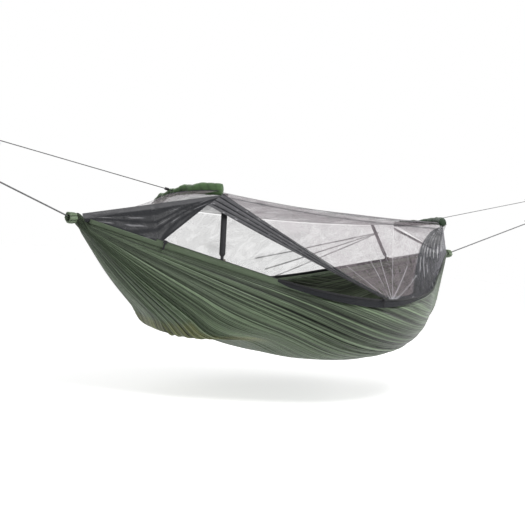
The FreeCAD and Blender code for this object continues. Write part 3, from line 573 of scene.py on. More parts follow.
def net_material(name, value, bunched, share, amount=0.25, sheen=0.4):
    """Fine insect net, see-through in one layer and nearly solid where it is bunched; its glint numbers paint
    highlights in near white.
    """
    tree, shader, uv = start_material(name)
    bunching = painted(tree, "bunching")
    net = group_node(tree, "Net Threads", {"Vector": uv, "Bunching": bunching, "Thread Share": share})
    gathered = maths(tree, "MINIMUM", maths(tree, "MULTIPLY", bunching, 2.5), 1.0)
    drift = faded(tree, uv, blended(tree, gathered, rgba(value), rgba(bunched)), amount, 9.0)
    # Painted highlight: where the glint number is high the net turns near white and solid.
    glint = painted(tree, "glint")
    bright = blended(tree, glint, drift, rgba((0.75, 0.74, 0.78)))
    cover = maths(tree, "MAXIMUM", net["Cover"], glint)
    bump(tree, shader, net["Height"], 0.35, 0.003)
    connect(tree, shader, {
        "Base Color": bright, "Alpha": cover, "Roughness": 0.5, "Specular IOR Level": 0.2,
        "Sheen Weight": sheen, "Sheen Roughness": 0.3, "Sheen Tint": (0.86, 0.84, 0.95, 1)})


def hard_material(name, value, metallic, rough, coat=0.0):
    """Metal or moulded plastic: fine grain in its gloss and faint rubbed patches, in Object coordinates."""
    tree, shader = new_finish(name)
    place = add_node(tree, "ShaderNodeTexCoord").outputs["Object"]
    drift = faded(tree, place, rgba(value), 0.15, 60.0)
    grain = noise(tree, place, 900.0, 3.0)
    gloss = maths(tree, "MULTIPLY_ADD", grain, 0.25, rough - 0.12)
    bump(tree, shader, grain, 0.25, 0.0003)
    connect(tree, shader, {"Base Color": drift, "Roughness": gloss, "Metallic": metallic, "Coat Weight": coat})


def dress(piece, finish):
    """Puts the named finish on a piece."""
    piece.data.materials.clear()
    piece.data.materials.append(bpy.data.materials[finish])


def settle(piece, nodes, finish, body="hammock"):
    """Puts a piece on its body, in place of its CAD nodes and finish."""
    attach(piece, body)
    if nodes:
        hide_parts(*nodes)
    dress(piece, finish)


# ---------------------------------------------------------------- rims, poles and belly


def rim_tangent(s):
    """X where a rim's straight run meets its arc, and the drop there."""
    centre = s.rim_drop - s.rim_radius
    reach = math.hypot(s.half_ridge, centre)
    turn = math.atan2(-centre, s.half_ridge) + math.acos(s.rim_radius / reach)
    return s.rim_radius * math.cos(turn), centre + s.rim_radius * math.sin(turn)


def rim_drop_at(s, x):
    """Drop from the ridge in the rim's plane: straight from the lashing, then a circle's arc."""
    tangent_x, tangent_drop = rim_tangent(s)
    straight = tangent_drop * (s.half_ridge - np.abs(x)) / (s.half_ridge - tangent_x)
    arc = s.rim_drop - s.rim_radius + np.sqrt(np.maximum(s.rim_radius ** 2 - x * x, 1e-9))
    return np.where(np.abs(x) > tangent_x, straight, arc)


def rim_axes(s, side):
    """Out of the ridge in the rim's plane, and that plane's normal."""
    c, n = math.cos(s.rim_tilt), math.sin(s.rim_tilt)
    return np.array([0, side * c, -n]), np.array([0, side * n, c])


def rim_path(s, x, side, outward=0.0, up=0.0):
    """Points of a rim at x, moved outward in its plane and up along its normal, with both directions."""
    x = np.asarray(x, dtype=float)
    out, normal = rim_axes(s, side)
    tangent_x, tangent_drop = rim_tangent(s)
    slope_run = -np.sign(x) * tangent_drop / (s.half_ridge - tangent_x)
    slope_arc = -x / np.sqrt(np.maximum(s.rim_radius ** 2 - x * x, 1e-9))
    slope = np.where(np.abs(x) > tangent_x, slope_run, slope_arc)[:, None]
    direction = unit(X + out * slope)
    away = unit(np.cross(direction, normal) * -side)
    points = MIDDLE + X * x[:, None] + Z * s.rim_lift + out * rim_drop_at(s, x)[:, None]
    return points + away * outward + normal * up, away, np.broadcast_to(normal, points.shape)


def belly_depth(s, x):
    """Depth below the rims: a straight ramp from each end that rounds over into the flat bed.

    The mat's corner pushes a short bump down at the head, and the cloth lifts a little past it.
    The head's ramp and the foot's corner both swell a little.
    """
    ramp = np.where(x < 0, s.head_ramp, s.foot_ramp)
    share = np.maximum(s.half_ridge - np.abs(x), 0) / ramp
    corner = 0.025 * np.exp(-((x - BED_HEAD) / np.where(x < BED_HEAD, 0.034, 0.085)) ** 2)
    for place, reach, swell in ((-0.40, 0.15, -0.042), (-0.91, 0.16, 0.018), (0.85, 0.08, 0.020)):
        corner = corner + swell * np.exp(-((x - place) / reach) ** 2)
    return s.belly_depth * share / (1 + share ** 18) ** (1 / 18) + corner


def fan_lines(s, x, v, points, edge_y):
    """Which straight line out of each lashing a point lies on, for the head and for the foot.

    The lines are the generators of a cone: level is 0 and the bed's ramp is 1. They carry on
    over the lower edge and across the underside. The far side is numbered apart.
    """
    across = 1.2 * (1 - np.abs(points[..., 1]) / np.maximum(edge_y, 0.01)) + 5.3 * (v > 0)
    lines = []
    for end, ramp in ((HEAD, s.head_ramp), (FOOT, s.foot_ramp)):
        reach = np.maximum(s.half_ridge - x * end, 0.02)
        lines.append(-points[..., 2] / reach * ramp / s.belly_depth + across)
    return lines


def belly_surface(s, x, v, inset=0.0, lift=0.0, seed=3):
    """The bed's cloth as a grid: x along, v from -1 at the near rim to 1 at the far rim.

    Each cross section is a flat-bottomed oval from rim to rim. Towards a lashed end it closes
    into a ring. Folds run along straight lines from the two lashings. Also gives each point's
    painted shade, from -1 in a fold's valley to 1 on its crest, with painted light and shade laid
    on the rims, flanks, keel and foot, its fan lines, and how far it is turned under.
    """
    x, v = x[:, None], v[None, :]
    size_x = np.abs(x)
    band_foot = -(s.band_height + 0.0003)
    _, normal = rim_axes(s, NEAR)
    top_y = rim_drop_at(s, x) * math.cos(s.rim_tilt) - normal[1] * band_foot - inset
    top_z = s.rim_lift - rim_drop_at(s, x) * math.sin(s.rim_tilt) + normal[2] * band_foot
    turn = v * math.pi / 2
    power = np.where(x > 0.5, 3.2 - 0.5 * smooth((x - 0.5) / 0.4), 3.2)
    reach = (np.abs(np.sin(turn)) ** power + np.abs(np.cos(turn)) ** power) ** (-1 / power)
    depth = belly_depth(s, x) - lift
    shape = (x.shape[0], v.shape[1])
    wide_x = np.broadcast_to(x, shape)
    belly = np.stack([wide_x, top_y * np.sin(turn) * reach, top_z - depth * np.cos(turn) * reach], -1)
    head_line, foot_line = fan_lines(s, x, v, belly, top_y)
    bottom = smooth((0.36 - np.abs(v)) / 0.2) * smooth((x - BED_HEAD) / 0.06)
    heights, shade = belly_folds(s, x, v, head_line, foot_line, seed)
    bundle = smooth((size_x - 1.080) / 0.042)
    ring = np.interp(size_x, [1.07, 1.09, 1.11, 1.124, 1.131, 1.16],
                     [0.041, 0.033, 0.026, 0.0205, s.neck_radius, s.neck_radius])
    sink = np.maximum(ring - 0.019, 0)
    pleats = fold_profile(v * 12.5 + 0.3)
    bunch = pleats * 0.10 * smooth((1.131 - size_x) / 0.01) - 0.05
    ring = (ring - inset * 0.6) * (1 + bunch)
    wide = v * math.pi * 0.985
    neck = np.stack([wide_x, ring * np.sin(wide), -ring * np.cos(wide) - sink], -1)
    points = belly * (1 - bundle[..., None]) + neck * bundle[..., None]
    middle = np.stack([x[:, 0], 0 * x[:, 0], (top_z - depth * 0.35)[:, 0] * (1 - bundle[:, 0])], -1)
    away = unit((points - middle[:, None]) * np.array([0.0, 1.0, 1.0]))
    points = points + away * (heights * (1 - bundle))[..., None]
    shade = shade * (1 - bundle) + pleats * bundle
    across = np.abs(v)
    under = smooth((0.44 - across) / 0.05) * smooth((x + 0.715) / 0.03) * smooth((-0.36 - x) / 0.10)
    # Painted light and shade added to the folds' painted shade: a painted highlight along the head's rims, painted
    # light on the flanks, a painted highlight on the foot's upper sides, and painted shade along the keel under
    # the head, on one long fold from the head and on the lower foot.
    painted_rim_highlight = 0.45 * np.exp(-((1 - across) / 0.10) ** 2) * smooth((-0.25 - x) / 0.3)
    painted_flank_light = smooth((-0.40 - x) / 0.2) + 0.45 * smooth((0.15 - x) / 0.3)
    painted_flank_light = painted_flank_light * smooth((0.78 - across) / 0.2) * (1 - bundle)
    painted_foot_highlight = 0.55 * smooth((x - 0.45) / 0.35) * smooth((across - 0.45) / 0.2)
    painted_keel_shade = -smooth((0.24 - across) / 0.18) * smooth((-0.64 - x) / 0.06) * (1 - bundle)
    reach = x + s.half_ridge
    painted_long_fold_shade = -0.95 * np.exp(-((head_line - 0.655) / 0.060) ** 2)
    painted_long_fold_shade = painted_long_fold_shade * smooth((reach - 0.25) / 0.3) * smooth((2.05 - reach) / 0.5)
    painted_lower_foot_shade = -0.50 * smooth((x - 0.05) / 0.3) * smooth((1.0 - x) / 0.3) * smooth((0.70 - across) / 0.2)
    lit = np.clip(shade * (1 - 0.4 * painted_foot_highlight) + painted_rim_highlight + painted_flank_light + painted_foot_highlight + painted_keel_shade + painted_long_fold_shade + painted_lower_foot_shade, -1, 1)
    crease = (1 - 0.75 * bottom) * (1 - 0.45 * smooth((x - 0.1) / 0.5) * smooth((0.8 - across) / 0.2))
    return MIDDLE + points, {"shade": lit, "under": under, "head_line": head_line, "foot_line": foot_line,
                             "foot_share": smooth((x - 0.45) / 0.30), "crease": crease}


def belly_folds(s, x, v, head_line, foot_line, seed):
    """Height and painted shade of the cloth's folds, which follow the fan lines.

    Head folds swell with their distance from the lashing and run on to the foot's corner; foot
    folds are short. Each set wanders a little and is uneven, so no two folds match.
    """
    total = np.zeros(head_line.shape)
    shade = np.zeros_like(total)
    flat = smooth((0.34 - np.abs(v)) / 0.2) * smooth((x - BED_HEAD) / 0.06)
    keep = smooth((1 - np.abs(v)) / 0.05) * (1 - 0.8 * flat)
    # Each set: its end, folds per pleat, height, the strength of its painted shade, and its shift.
    sets = ((HEAD, 0.23, 1.5, 0.8, 0.0), (HEAD, 0.48, 1.0, 0.8, 0.37),
            (FOOT, 0.20, 1.4, 0.5, 0.13), (FOOT, 0.42, 1.0, 0.7, 0.57))
    for k, (end, folds, height, dark, shift) in enumerate(sets):
        line = head_line if end == HEAD else foot_line
        folds = folds * s.pleats
        reach = s.half_ridge - x * end
        fade = 1 - smooth((reach - 1.35) / 0.50) if end == HEAD else np.exp(-(reach / 0.40) ** 2)
        swell = smooth(reach / (0.42 if end == HEAD else 0.20)) * fade
        drift = 0.40 * waves(line * 0.55, reach * 0.22, seed + k, 4, 0.6, 2.4)
        uneven = 0.75 * waves(line * folds * 0.13, reach * 0.40, seed + 7 * k + 90, 4, 0.5, 1.5)
        uneven = np.clip(0.55 + uneven, 0.0, 1.4)
        profile = fold_profile(line * folds + drift + shift, 0.5)
        total += s.pleat * height * swell * uneven * profile
        shade += 1.9 * dark * swell * uneven * (profile - 0.30)
    soft = 0.005 * waves(x * 0.5, v * 0.6, seed + 31, 6, 0.5, 1.6)
    return keep * (total + soft * 0.8), np.clip(keep * shade, -1, 1)


def pole_frame(s, end):
    """A bent pole's middle, and its axes: out towards the rope, along its chord, and up."""
    place, height, lean, turn = POLE_PLACES[end]
    lean, turn = math.radians(-lean), math.radians(turn)
    rise = -end * s.pole_rise
    around_z = np.array([[math.cos(turn), -math.sin(turn), 0], [math.sin(turn), math.cos(turn), 0], [0, 0, 1]])
    around_x = np.array([[1, 0, 0], [0, math.cos(lean), -math.sin(lean)], [0, math.sin(lean), math.cos(lean)]])
    around_y = np.array([[math.cos(rise), 0, math.sin(rise)], [0, 1, 0], [-math.sin(rise), 0, math.cos(rise)]])
    facing = np.diag([end, end, 1.0])
    return MIDDLE + X * (end * place) + Z * height, around_z @ around_x @ around_y @ facing


def pole_points(s, end, share, outward=0.0, up=0.0):
    """Points beside a bent pole; share runs from -1 at its near end to 1 at its far end."""
    share, outward, up = np.broadcast_arrays(share, outward, up)
    half = s.pole_chord / 2
    radius = (half ** 2 + s.pole_bow ** 2) / (2 * s.pole_bow)
    turn = math.asin(half / radius) * share * end
    middle, axes = pole_frame(s, end)
    local = np.stack([(radius + outward) * np.cos(turn) - radius, (radius + outward) * np.sin(turn), up], -1)
    return middle + local @ axes.T


# ---------------------------------------------------------------- operators


class HAMMOCK_OT_finishes(bpy.types.Operator):
    """Makes the shared effects and every finish of the hammock"""
    bl_idname = "hammock.finishes"
    bl_label = "Finishes"

    def execute(self, context):
        c = context.scene.hammock_colours
        s = context.scene.hammock_sizes
        for make in (make_weave_group, make_drift_group, make_crease_group, make_braid_group, make_net_group):
            make()
        cloth_material("Body Cloth", c.body, c.lower, fans=True)
        cloth_material("Hem Cloth", c.body)
        cloth_material("Bed Cloth", c.bed, creases=0.35, fans=True)
        cloth_material("Sleeve Cloth", c.sleeve, sheen=0.15)
        cloth_material("Dark Sleeve Cloth", c.foot_sleeve)
        webbing_material("Dark Webbing", c.webbing)
        webbing_material("Zip Tape", c.zip)
        rope_material("Grey Rope", c.rope, s.rope, 210.0)
        rope_material("Grey Line", c.rope, s.line, 340.0)
        rope_material("Lashing Cord", c.lashing, s.rope, 210.0)
        net_material("Insect Net", c.net, c.bunched, 0.20)
        net_material("Bunched Net", c.bunched, c.bunched, 0.34, 0.35, sheen=0.06)
        hard_material("Dark Metal", (0.03, 0.03, 0.033), 0.8, 0.38)
        hard_material("Pole Metal", (0.50, 0.51, 0.53), 1.0, 0.35)
        hard_material("Ferrule Metal", (0.62, 0.63, 0.65), 1.0, 0.28)
        hard_material("Pole Tip Rubber", (0.018, 0.018, 0.018), 0.0, 0.6)
        hard_material("Cord Lock Plastic", (0.012, 0.012, 0.014), 0.0, 0.32, coat=0.3)
        hard_material("Toggle Plastic", c.toggle, 0.0, 0.5)
        for ending, finish in (("slider", "Dark Metal"), ("pull", "Dark Metal"), ("rod", "Pole Metal"),
                               ("ferrule", "Ferrule Metal"), ("tips", "Pole Tip Rubber"),
                               ("line_lock", "Cord Lock Plastic"), ("toggle", "Toggle Plastic")):
            for name, node in frame["nodes"].items():
                if name.endswith(ending):
                    dress(node, finish)
        return {"FINISHED"}


def aim(holder, right, above, back, place):
    """Sets an object's three axes and its place."""
    matrix = np.eye(4)
    matrix[:3] = np.stack([right, above, back, place], -1)
    holder.matrix_world = matrix.T.tolist()


class HAMMOCK_OT_stage(bpy.types.Operator):
    """Sets up the camera, the soft lamps, the floor and the white surround"""
    bl_idname = "hammock.stage"
    bl_label = "Stage"

    def execute(self, context):
        scene = context.scene
        scene.view_settings.view_transform = "Standard"
        yaw, pitch, roll = (math.radians(turn) for turn in CAMERA_TURN)
        ahead = np.array([-math.sin(yaw) * math.cos(pitch), math.cos(yaw) * math.cos(pitch), -math.sin(pitch)])
        right = np.array([math.cos(yaw), math.sin(yaw), 0])
        above = np.cross(right, ahead)
        data = bpy.data.cameras.new("Camera")
        data.lens, data.sensor_width, data.sensor_fit = CAMERA_LENS, 36.0, "HORIZONTAL"
        data.clip_start, data.clip_end = 0.05, 200
        camera = bpy.data.objects.new("Camera", data)
        scene.collection.objects.link(camera)
        aim(camera, right * math.cos(roll) + above * math.sin(roll),
            above * math.cos(roll) - right * math.sin(roll), -ahead, MIDDLE + np.array(CAMERA_PLACE))
        scene.camera = camera
        self.add_floor(context)
        self.add_lamps(context)
        self.add_surround(context)
        return {"FINISHED"}

    def add_floor(self, context):
        """A plain floor below the part, lit enough to meet the surround without an edge."""
        level = CAD_BOX[0][2] - 0.16
        side = np.linspace(-30, 30, 5)
        points = np.stack(np.broadcast_arrays(side[:, None], side[None, :], level), -1)
        floor = add_surface("floor", points + MIDDLE * np.array([1, 1, 0]), flip=True)
        tree, shader = new_finish("Pale Floor")
        connect(tree, shader, {
            "Base Color": rgba(context.scene.hammock_colours.floor), "Roughness": 0.9,
            "Specular IOR Level": 0.1, "Emission Color": (1, 1, 1, 1),
            "Emission Strength": maths(tree, "MULTIPLY", seen_directly(tree), 0.66)})
        dress(floor, "Pale Floor")

    def add_lamps(self, context):
        """Three square soft lamps turned to the hammock's middle."""
        for name, place, width, power in LAMPS:
            lamp = bpy.data.lights.new(name, "AREA")
            lamp.shape, lamp.size, lamp.energy = "SQUARE", width, power
            holder = bpy.data.objects.new(name, lamp)
            context.scene.collection.objects.link(holder)
            spot = MIDDLE + np.array(place)
            back = unit(spot - (MIDDLE + np.array(LAMP_TARGET)))
            side = unit(np.cross(Z, back))
            aim(holder, side, np.cross(back, side), back, spot)

    def add_surround(self, context):
        """A white surround, dimmer as a light than as a background."""
        world = bpy.data.worlds.new("Surround")
        context.scene.world = world
        world.use_nodes = True
        tree = world.node_tree
        strength = maths(tree, "MULTIPLY_ADD", seen_directly(tree), 0.64, 0.36)
        connect(tree, tree.nodes["Background"], {"Strength": strength, "Color": (1, 1, 1, 1)})


def straight_route(start, finish, gauge):
    """A taut cord's route: its two ends and a point six diameters in from each."""
    start, finish = np.array(start), np.array(finish)
    way = unit(finish - start)
    return [start, start + way * 6 * gauge, finish - way * 6 * gauge, finish]


def route_line(name, route):
    """The route's smooth line, as closely spaced points read from its NURBS spline."""
    curve = bpy.data.curves.new(name, "CURVE")
    curve.dimensions = "3D"
    spline = curve.splines.new("NURBS")
    spline.points.add(len(route) - 1)
    spline.points.foreach_set("co", np.array([[*p, 1.0] for p in route], dtype=np.float32).ravel())
    spline.order_u = 3
    spline.use_endpoint_u = True
    spline.resolution_u = 40
    holder = bpy.data.objects.new(name, curve)
    bpy.context.scene.collection.objects.link(holder)
    mesh = bpy.data.meshes.new_from_object(holder)
    line = np.empty(len(mesh.vertices) * 3)
    mesh.vertices.foreach_get("co", line)
    bpy.data.objects.remove(holder)
    bpy.data.curves.remove(curve)
    bpy.data.meshes.remove(mesh)
    return line.reshape(-1, 3)


def knot_points(centre, ahead, reach):
    """An overhand knot's line: a trefoil, two turns around its middle with three bights."""
    t = np.linspace(0, 2 * math.pi, 90, endpoint=False)
    local = np.stack([np.sin(t) + 2 * np.sin(2 * t), np.cos(t) - 2 * np.cos(2 * t), -1.2 * np.sin(3 * t)], -1)
    side = unit(np.cross(ahead, Z))
    axes = np.stack([ahead, side, np.cross(side, ahead)])
    return centre + (local * reach / 3.0) @ axes


class HAMMOCK_OT_ropes(bpy.types.Operator):
    """Makes the two main ropes and two net lines, each taut to a knotted eye"""
    bl_idname = "hammock.ropes"
    bl_label = "Ropes and Eyes"

    def execute(self, context):
        s = context.scene.hammock_sizes
        mounts = {m["name"]: np.array(m["pos_m"]) for m in frame["record"]["mounts"]}
        for kind, gauge, eye, knot, slot, finish in (
                ("rope", s.rope, 0.019, 0.010, "grey_rope", "Grey Rope"),
                ("net_line", s.line, 0.013, 0.0065, "grey_line", "Grey Line")):
            for name, end in ENDS.items():
                name = f"{name}_{kind}"
                path, drawn, way = self.cord_path(name, end, gauge, eye, mounts[name + "_eye"])
                rope = tube(name + "_cord", path, gauge / 2, Y)
                settle(rope, [name], finish)
                tied = self.tie_eye(name, gauge, eye, knot, mounts[name + "_eye"], way)
                settle(tied, [name + "_eye"], finish, "hammock" if kind == "net_line" else "tree_loops")
        return {"FINISHED"}

    def cord_path(self, name, end, gauge, eye, eye_centre):
        """A taut cord's evenly spaced points, from its CAD box's inner end to its eye, its length and way."""
        low, high = (np.array(p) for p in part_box(name))
        half = gauge / 2
        upper, lower = high[2] - half, low[2] + half
        climbs = abs(eye_centre[2] - upper) < abs(eye_centre[2] - lower)
        inner = np.array([high[0] if end == HEAD else low[0], 0, lower if climbs else upper])
        way = unit(eye_centre - inner)
        outer = eye_centre - way * (eye + gauge)
        line = route_line(name + "_route", straight_route(inner + way * half * 0.3, outer, gauge))
        steps = np.concatenate([[0], np.cumsum(np.linalg.norm(np.diff(line, axis=0), axis=1))])
        even = np.linspace(0, steps[-1], 160)
        path = np.stack([np.interp(even, steps, line[:, k]) for k in range(3)], -1)
        return path, float(steps[-1]), way

    def tie_eye(self, name, gauge, eye, knot, eye_centre, way):
        """The loop, its hitch and the cord's loose tail, as one piece."""
        half = gauge / 2
        turn = np.linspace(0, 2 * math.pi, 80, endpoint=False)
        squeeze = 1 - 0.34 * smooth((np.cos(turn - math.pi) - 0.55) / 0.45)
        side = unit(np.cross(way, Y))
        ring = eye_centre + way * (np.cos(turn) * eye)[:, None] + side * (np.sin(turn) * eye * squeeze)[:, None]
        loop = closed_tube(name + "_loop", ring, half)
        centre = eye_centre - way * (eye + gauge * 0.9)
        hitch = closed_tube(name + "_hitch", knot_points(centre, way, knot * 0.82), half)
        start = centre + side * knot * 0.5
        route = [start, start + side * knot * 1.1 - way * 0.006, start + side * knot * 1.3 - way * 0.030]
        tail = tube(name + "_tail", route_line(name + "_tail_route", route), half * 0.98, Y)
        return join_pieces(name + "_tied_eye", [loop, hitch, tail])


class HAMMOCK_OT_body(bpy.types.Operator):
    """Makes the body's outer cloth with its bunched ends, the bed layer and the lashings"""
    bl_idname = "hammock.body"
    bl_label = "Body Cloth"

    def execute(self, context):
        s = context.scene.hammock_sizes
        tip = s.half_ridge + 0.002
        # Rows are closer together towards both ends, where the folds are finest.
        run = np.linspace(-1, 1, 290)
        rows = [-1, -0.86, -0.15, 0.55, 0.88, 1]
        x = np.interp(run, rows, [-tip, -1.09, -0.6, 0.85, 1.09, tip])
        points, values = belly_surface(s, x, np.linspace(-1, 1, 340))
        outer = add_surface("body_outer", points, values=values)
        settle(outer, ["outer_layer", "head_gather", "foot_gather"], finish="Body Cloth")
        reach = s.belly_reach - 0.01
        x = np.interp(run, rows, [-reach, -1.05, -0.6, 0.85, 1.05, reach])
        points, values = belly_surface(s, x, np.linspace(-0.97, 0.97, 300), inset=0.002, lift=0.011)
        inner = add_surface("bed_inner", points, flip=True, values=values)
        settle(inner, ["bed_layer"], finish="Bed Cloth")
        for name, end in ENDS.items():
            self.add_lashing(s, name, end)
        return {"FINISHED"}

    def add_lashing(self, s, name, end):
        """Three turns of cord around the neck, each a shallow helix, and the rolled end of cloth beyond them."""
        radius = 0.011 + s.rope / 2 + 0.0003
        t = np.linspace(0, 1, 260)
        turn = t * 2 * math.pi * 3.3
        middle = end * (s.half_ridge - 0.01)
        x = middle + end * (t - 0.5) * 0.0182
        path = MIDDLE + np.stack([x, radius * np.cos(turn), radius * np.sin(turn)], -1)
        coil = tube(name + "_lashing_turns", path, s.rope / 2 * 0.97, X)
        settle(coil, [name + "_lashing"], finish="Lashing Cord")
        around = np.linspace(0, 2 * math.pi, 192, endpoint=False)[None, :]
        t = np.linspace(0, 1, 34)
        knots = np.linspace(0, 1, 8)
        place = np.interp(t, knots, [0.0005, 0.006, 0.0105, 0.0118, 0.0100, 0.003, -0.009, -0.020])[:, None]
        reach = np.interp(t, knots, [0.0108, 0.0125, 0.0155, 0.0185, 0.0205, 0.0222, 0.0222, 0.0196])[:, None]
        pleat = fold_profile(around / (2 * math.pi) * 11 + 0.5 * t[:, None] + 0.2 * np.sin(around * 3))
        lumps = 0.09 * np.sin(around * 2 + 1.0) + 0.05 * np.sin(around * 5 + 4 * t[:, None])
        grown = smooth(t[:, None] / 0.35)
        round_reach = reach * (1 + grown * (0.10 * pleat + lumps - 0.04))
        points = np.stack([np.broadcast_to(end * (s.half_ridge + place), round_reach.shape),
                           round_reach * np.cos(around), round_reach * np.sin(around)], -1)
        cuff = add_surface(name + "_rolled_end", MIDDLE + points, closed_around=True, flip=end == FOOT,
                           values={"shade": pleat * grown})
        settle(cuff, [], finish="Hem Cloth")


class HAMMOCK_OT_rims(bpy.types.Operator):
    """Makes the stitched hem on each rim, and the zip's tape and coil on it"""
    bl_idname = "hammock.rims"
    bl_label = "Rims and Zips"

    def execute(self, context):
        s = context.scene.hammock_sizes
        for name, side in SIDES.items():
            x = np.linspace(-s.belly_reach, s.belly_reach, 260)
            path, away, up = rim_path(s, x, side)
            half = s.band_height / 2
            profile = rounded_bar(s.band_thick / 2, half, 0.0012) - np.array([0, half])
            wavy = path + away * (0.0006 * waves(x, 0 * x, 5 + side, 4, 1.0, 4.0))[:, None]
            band = self.add_bar(name + "_hem", (wavy, away, up), profile, side)
            settle(band, [name + "_rim_band"], finish="Hem Cloth")
            x = np.linspace(-0.88, 0.88, 420)
            frames = rim_path(s, x, side)
            cloth = rounded_bar(0.00045, 0.0045, 0.0003) + np.array([0, 0.0048])
            teeth = rounded_bar(0.0009, 0.0011, 0.0005) + np.array([0, 0.0104])
            tape = self.add_bar(name + "_tape", frames, cloth, side)
            coil = self.add_bar(name + "_coil", frames, teeth, side)
            settle(tape, [name + "_zip_tape"], finish="Hem Cloth" if side == NEAR else "Zip Tape")
            settle(coil, [], finish="Zip Tape")
            if side == NEAR:
                self.darken_past_flap(tape)
        self.add_skirt(s)
        return {"FINISHED"}

    def add_bar(self, name, frames, profile, side):
        """A closed profile carried along a rim, with its faces outward on both sides."""
        return add_surface(name, sweep(*frames, profile), closed_around=True, capped=True, flip=side == NEAR)

    def darken_past_flap(self, tape):
        """From the flap's start towards the foot the near tape takes the flap's dark finish."""
        tape.data.materials.append(bpy.data.materials["Zip Tape"])
        places = np.empty(len(tape.data.polygons) * 3)
        tape.data.polygons.foreach_get("center", places)
        past = places[::3] - MIDDLE[0] > FLAP_START
        tape.data.polygons.foreach_set("material_index", past.astype(np.int32))

    def add_skirt(self, s):
        """The dark zip flap that folds over the near rim: deepest near the middle, shallow at the foot."""
        x = np.linspace(FLAP_START, s.belly_reach - 0.02, 300)
        base, away, _ = rim_path(s, x, NEAR, s.band_thick / 2 + 0.0008, 0.0018)
        depth = np.interp(x, [FLAP_START, -0.44, -0.3, -0.15, 0.0, 0.1, 0.25, 0.4, 0.85, 1.07],
                          [0.002, 0.011, 0.018, 0.024, 0.025, 0.019, 0.008, 0.004, 0.003, 0.003])
        t = np.linspace(0, 1, 16)
        lean = -Z + away * 0.02
        ripple = fold_profile(t[None, :] * 2.2 + 0.3 * waves(x[:, None] * 2.5, t[None, :], 44, 5, 0.8, 3.0))
        points = base[:, None] + lean[:, None] * (depth[:, None] * t[None, :])[..., None]
        points = points + away[:, None] * (0.0006 * (1 + ripple) * np.sqrt(t)[None, :])[..., None]
        flap = add_surface("near_zip_flap", points, flip=True, values={"bunching": 1.1 + 0.3 * ripple})
        settle(flap, [], finish="Bunched Net")


class HAMMOCK_OT_poles(bpy.types.Operator):
    """Makes the ruffled sleeves over the bent poles, and the tabs the net lines pull on"""
    bl_idname = "hammock.poles"
    bl_label = "Pole Sleeves"

    def execute(self, context):
        s = context.scene.hammock_sizes
        for name, end in ENDS.items():
            share = np.linspace(-1.028, 1.028, 200)[:, None]
            turn = np.linspace(0, 2 * math.pi, 48, endpoint=False)[None, :]
            fat = 1 if end == HEAD else 0.75
            near_end = smooth((0.35 - share) / 1.2) * fat
            uneven = waves(share * 0.8, turn * 0.05, 5, 4, 0.5, 1.6)
            rings = fold_profile(share * 7 + 0.35 * np.sin(turn + 2 * share) + uneven)
            ruffle = waves(share * 0.9, turn / 6.28, 11 + end, 6, 1.2, 4.0)
            close = np.sqrt(np.clip((1.03 - np.abs(share)) / 0.035, 0.02, 1))
            loose = 1 - 0.55 * near_end
            radius = s.sleeve + 0.0008 + (0.0042 * ruffle + 0.0012 * rings) * loose + 0.0012
            radius = (radius + 0.0060 * near_end) * close
            out = radius * np.sin(turn)
            up = radius * np.cos(turn) * (1 + 0.25 * near_end) + 0.0050 * near_end * close
            points = pole_points(s, end, np.broadcast_to(share, out.shape), out, up)
            sleeve = add_surface(name + "_sleeve", points, closed_around=True, capped=True,
                                 values={"shade": np.clip(0.9 * ruffle * loose + 0.3 * rings, -1, 1)})
            finish = "Sleeve Cloth" if end == HEAD else "Dark Sleeve Cloth"
            settle(sleeve, [name + "_pole_sleeve"], finish=finish)
            self.add_tab(name)
        return {"FINISHED"}

    def add_tab(self, name):
        """A folded tab from the sleeve to the cord lock: its width narrows from root to tip."""
        low, high = (np.array(p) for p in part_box(name + "_line_tab"))
        lock = box_centre(name + "_line_lock")
        middle = (low + high) / 2
        way = unit((lock - middle) * np.array([1, 0, 1]))
        half = (high[0] - low[0]) / 2 * 0.96
        t = np.linspace(-1, 1, 16)
        path = middle + way * (t * half)[:, None]
        root, end_width = 0.0078, 0.0048
        width = (root + (end_width - root) * (t + 1) / 2)[:, None]
        ring = rounded_bar(1.0, 0.0009, 0.0004)
        up = np.cross(way, Y)
        points = path[:, None] + Y * (ring[None, :, :1] * width[:, None]) + up * ring[None, :, 1:]
        tab = add_surface(name + "_tab", points, closed_around=True, capped=True)
        settle(tab, [name + "_line_tab"], finish="Dark Webbing")


# ---------------------------------------------------------------- insect net


def panel(start_edge, end_edge, rows, seed, ripple=0.003, sag=0.0, hem_start=0.0, hem_end=0.0, bunch=0.0):
    """A net panel ruled between two edges (columns, 3), with ripples, and its bunching numbers.

    Row share t runs from the first edge to the second. Ripples fade at both edges. Bunching is
    high in a hem's width at an edge and along a few ripples' crests.
    """
    start_edge, end_edge = np.asarray(start_edge), np.asarray(end_edge)
    t = np.linspace(0, 1, rows)[:, None]
    points = start_edge[None] * (1 - t[..., None]) + end_edge[None] * t[..., None]
    u = np.linspace(0, 1, points.shape[1])[None, :]
    inside = np.sin(math.pi * t) * np.sin(math.pi * u) ** 0.5
    normal = unit(np.cross(np.gradient(points, axis=0), np.gradient(points, axis=1)))
    ripples = waves(u * 1.6, t * 0.5, seed, 6, 1.0, 4.5)
    points = points + normal * (ripple * ripples * inside)[..., None]
    points = points - Z * (sag * 4 * t * (1 - t) * np.sin(math.pi * u) ** 0.7)[..., None]
    span = np.linalg.norm(end_edge - start_edge, axis=1)[None, :]
    bunching = np.zeros(points.shape[:2]) + bunch
    if hem_start:
        bunching = np.maximum(bunching, smooth((hem_start - t * span) / (hem_start * 0.35) + 0.5))
    if hem_end:
        bunching = np.maximum(bunching, smooth((hem_end - (1 - t) * span) / (hem_end * 0.35) + 0.5))
    bunching = bunching + 0.05 * np.maximum(waves(u * 2.2, t * 0.6, seed + 50, 5, 1.0, 5.0), 0) ** 2
    return points, bunching


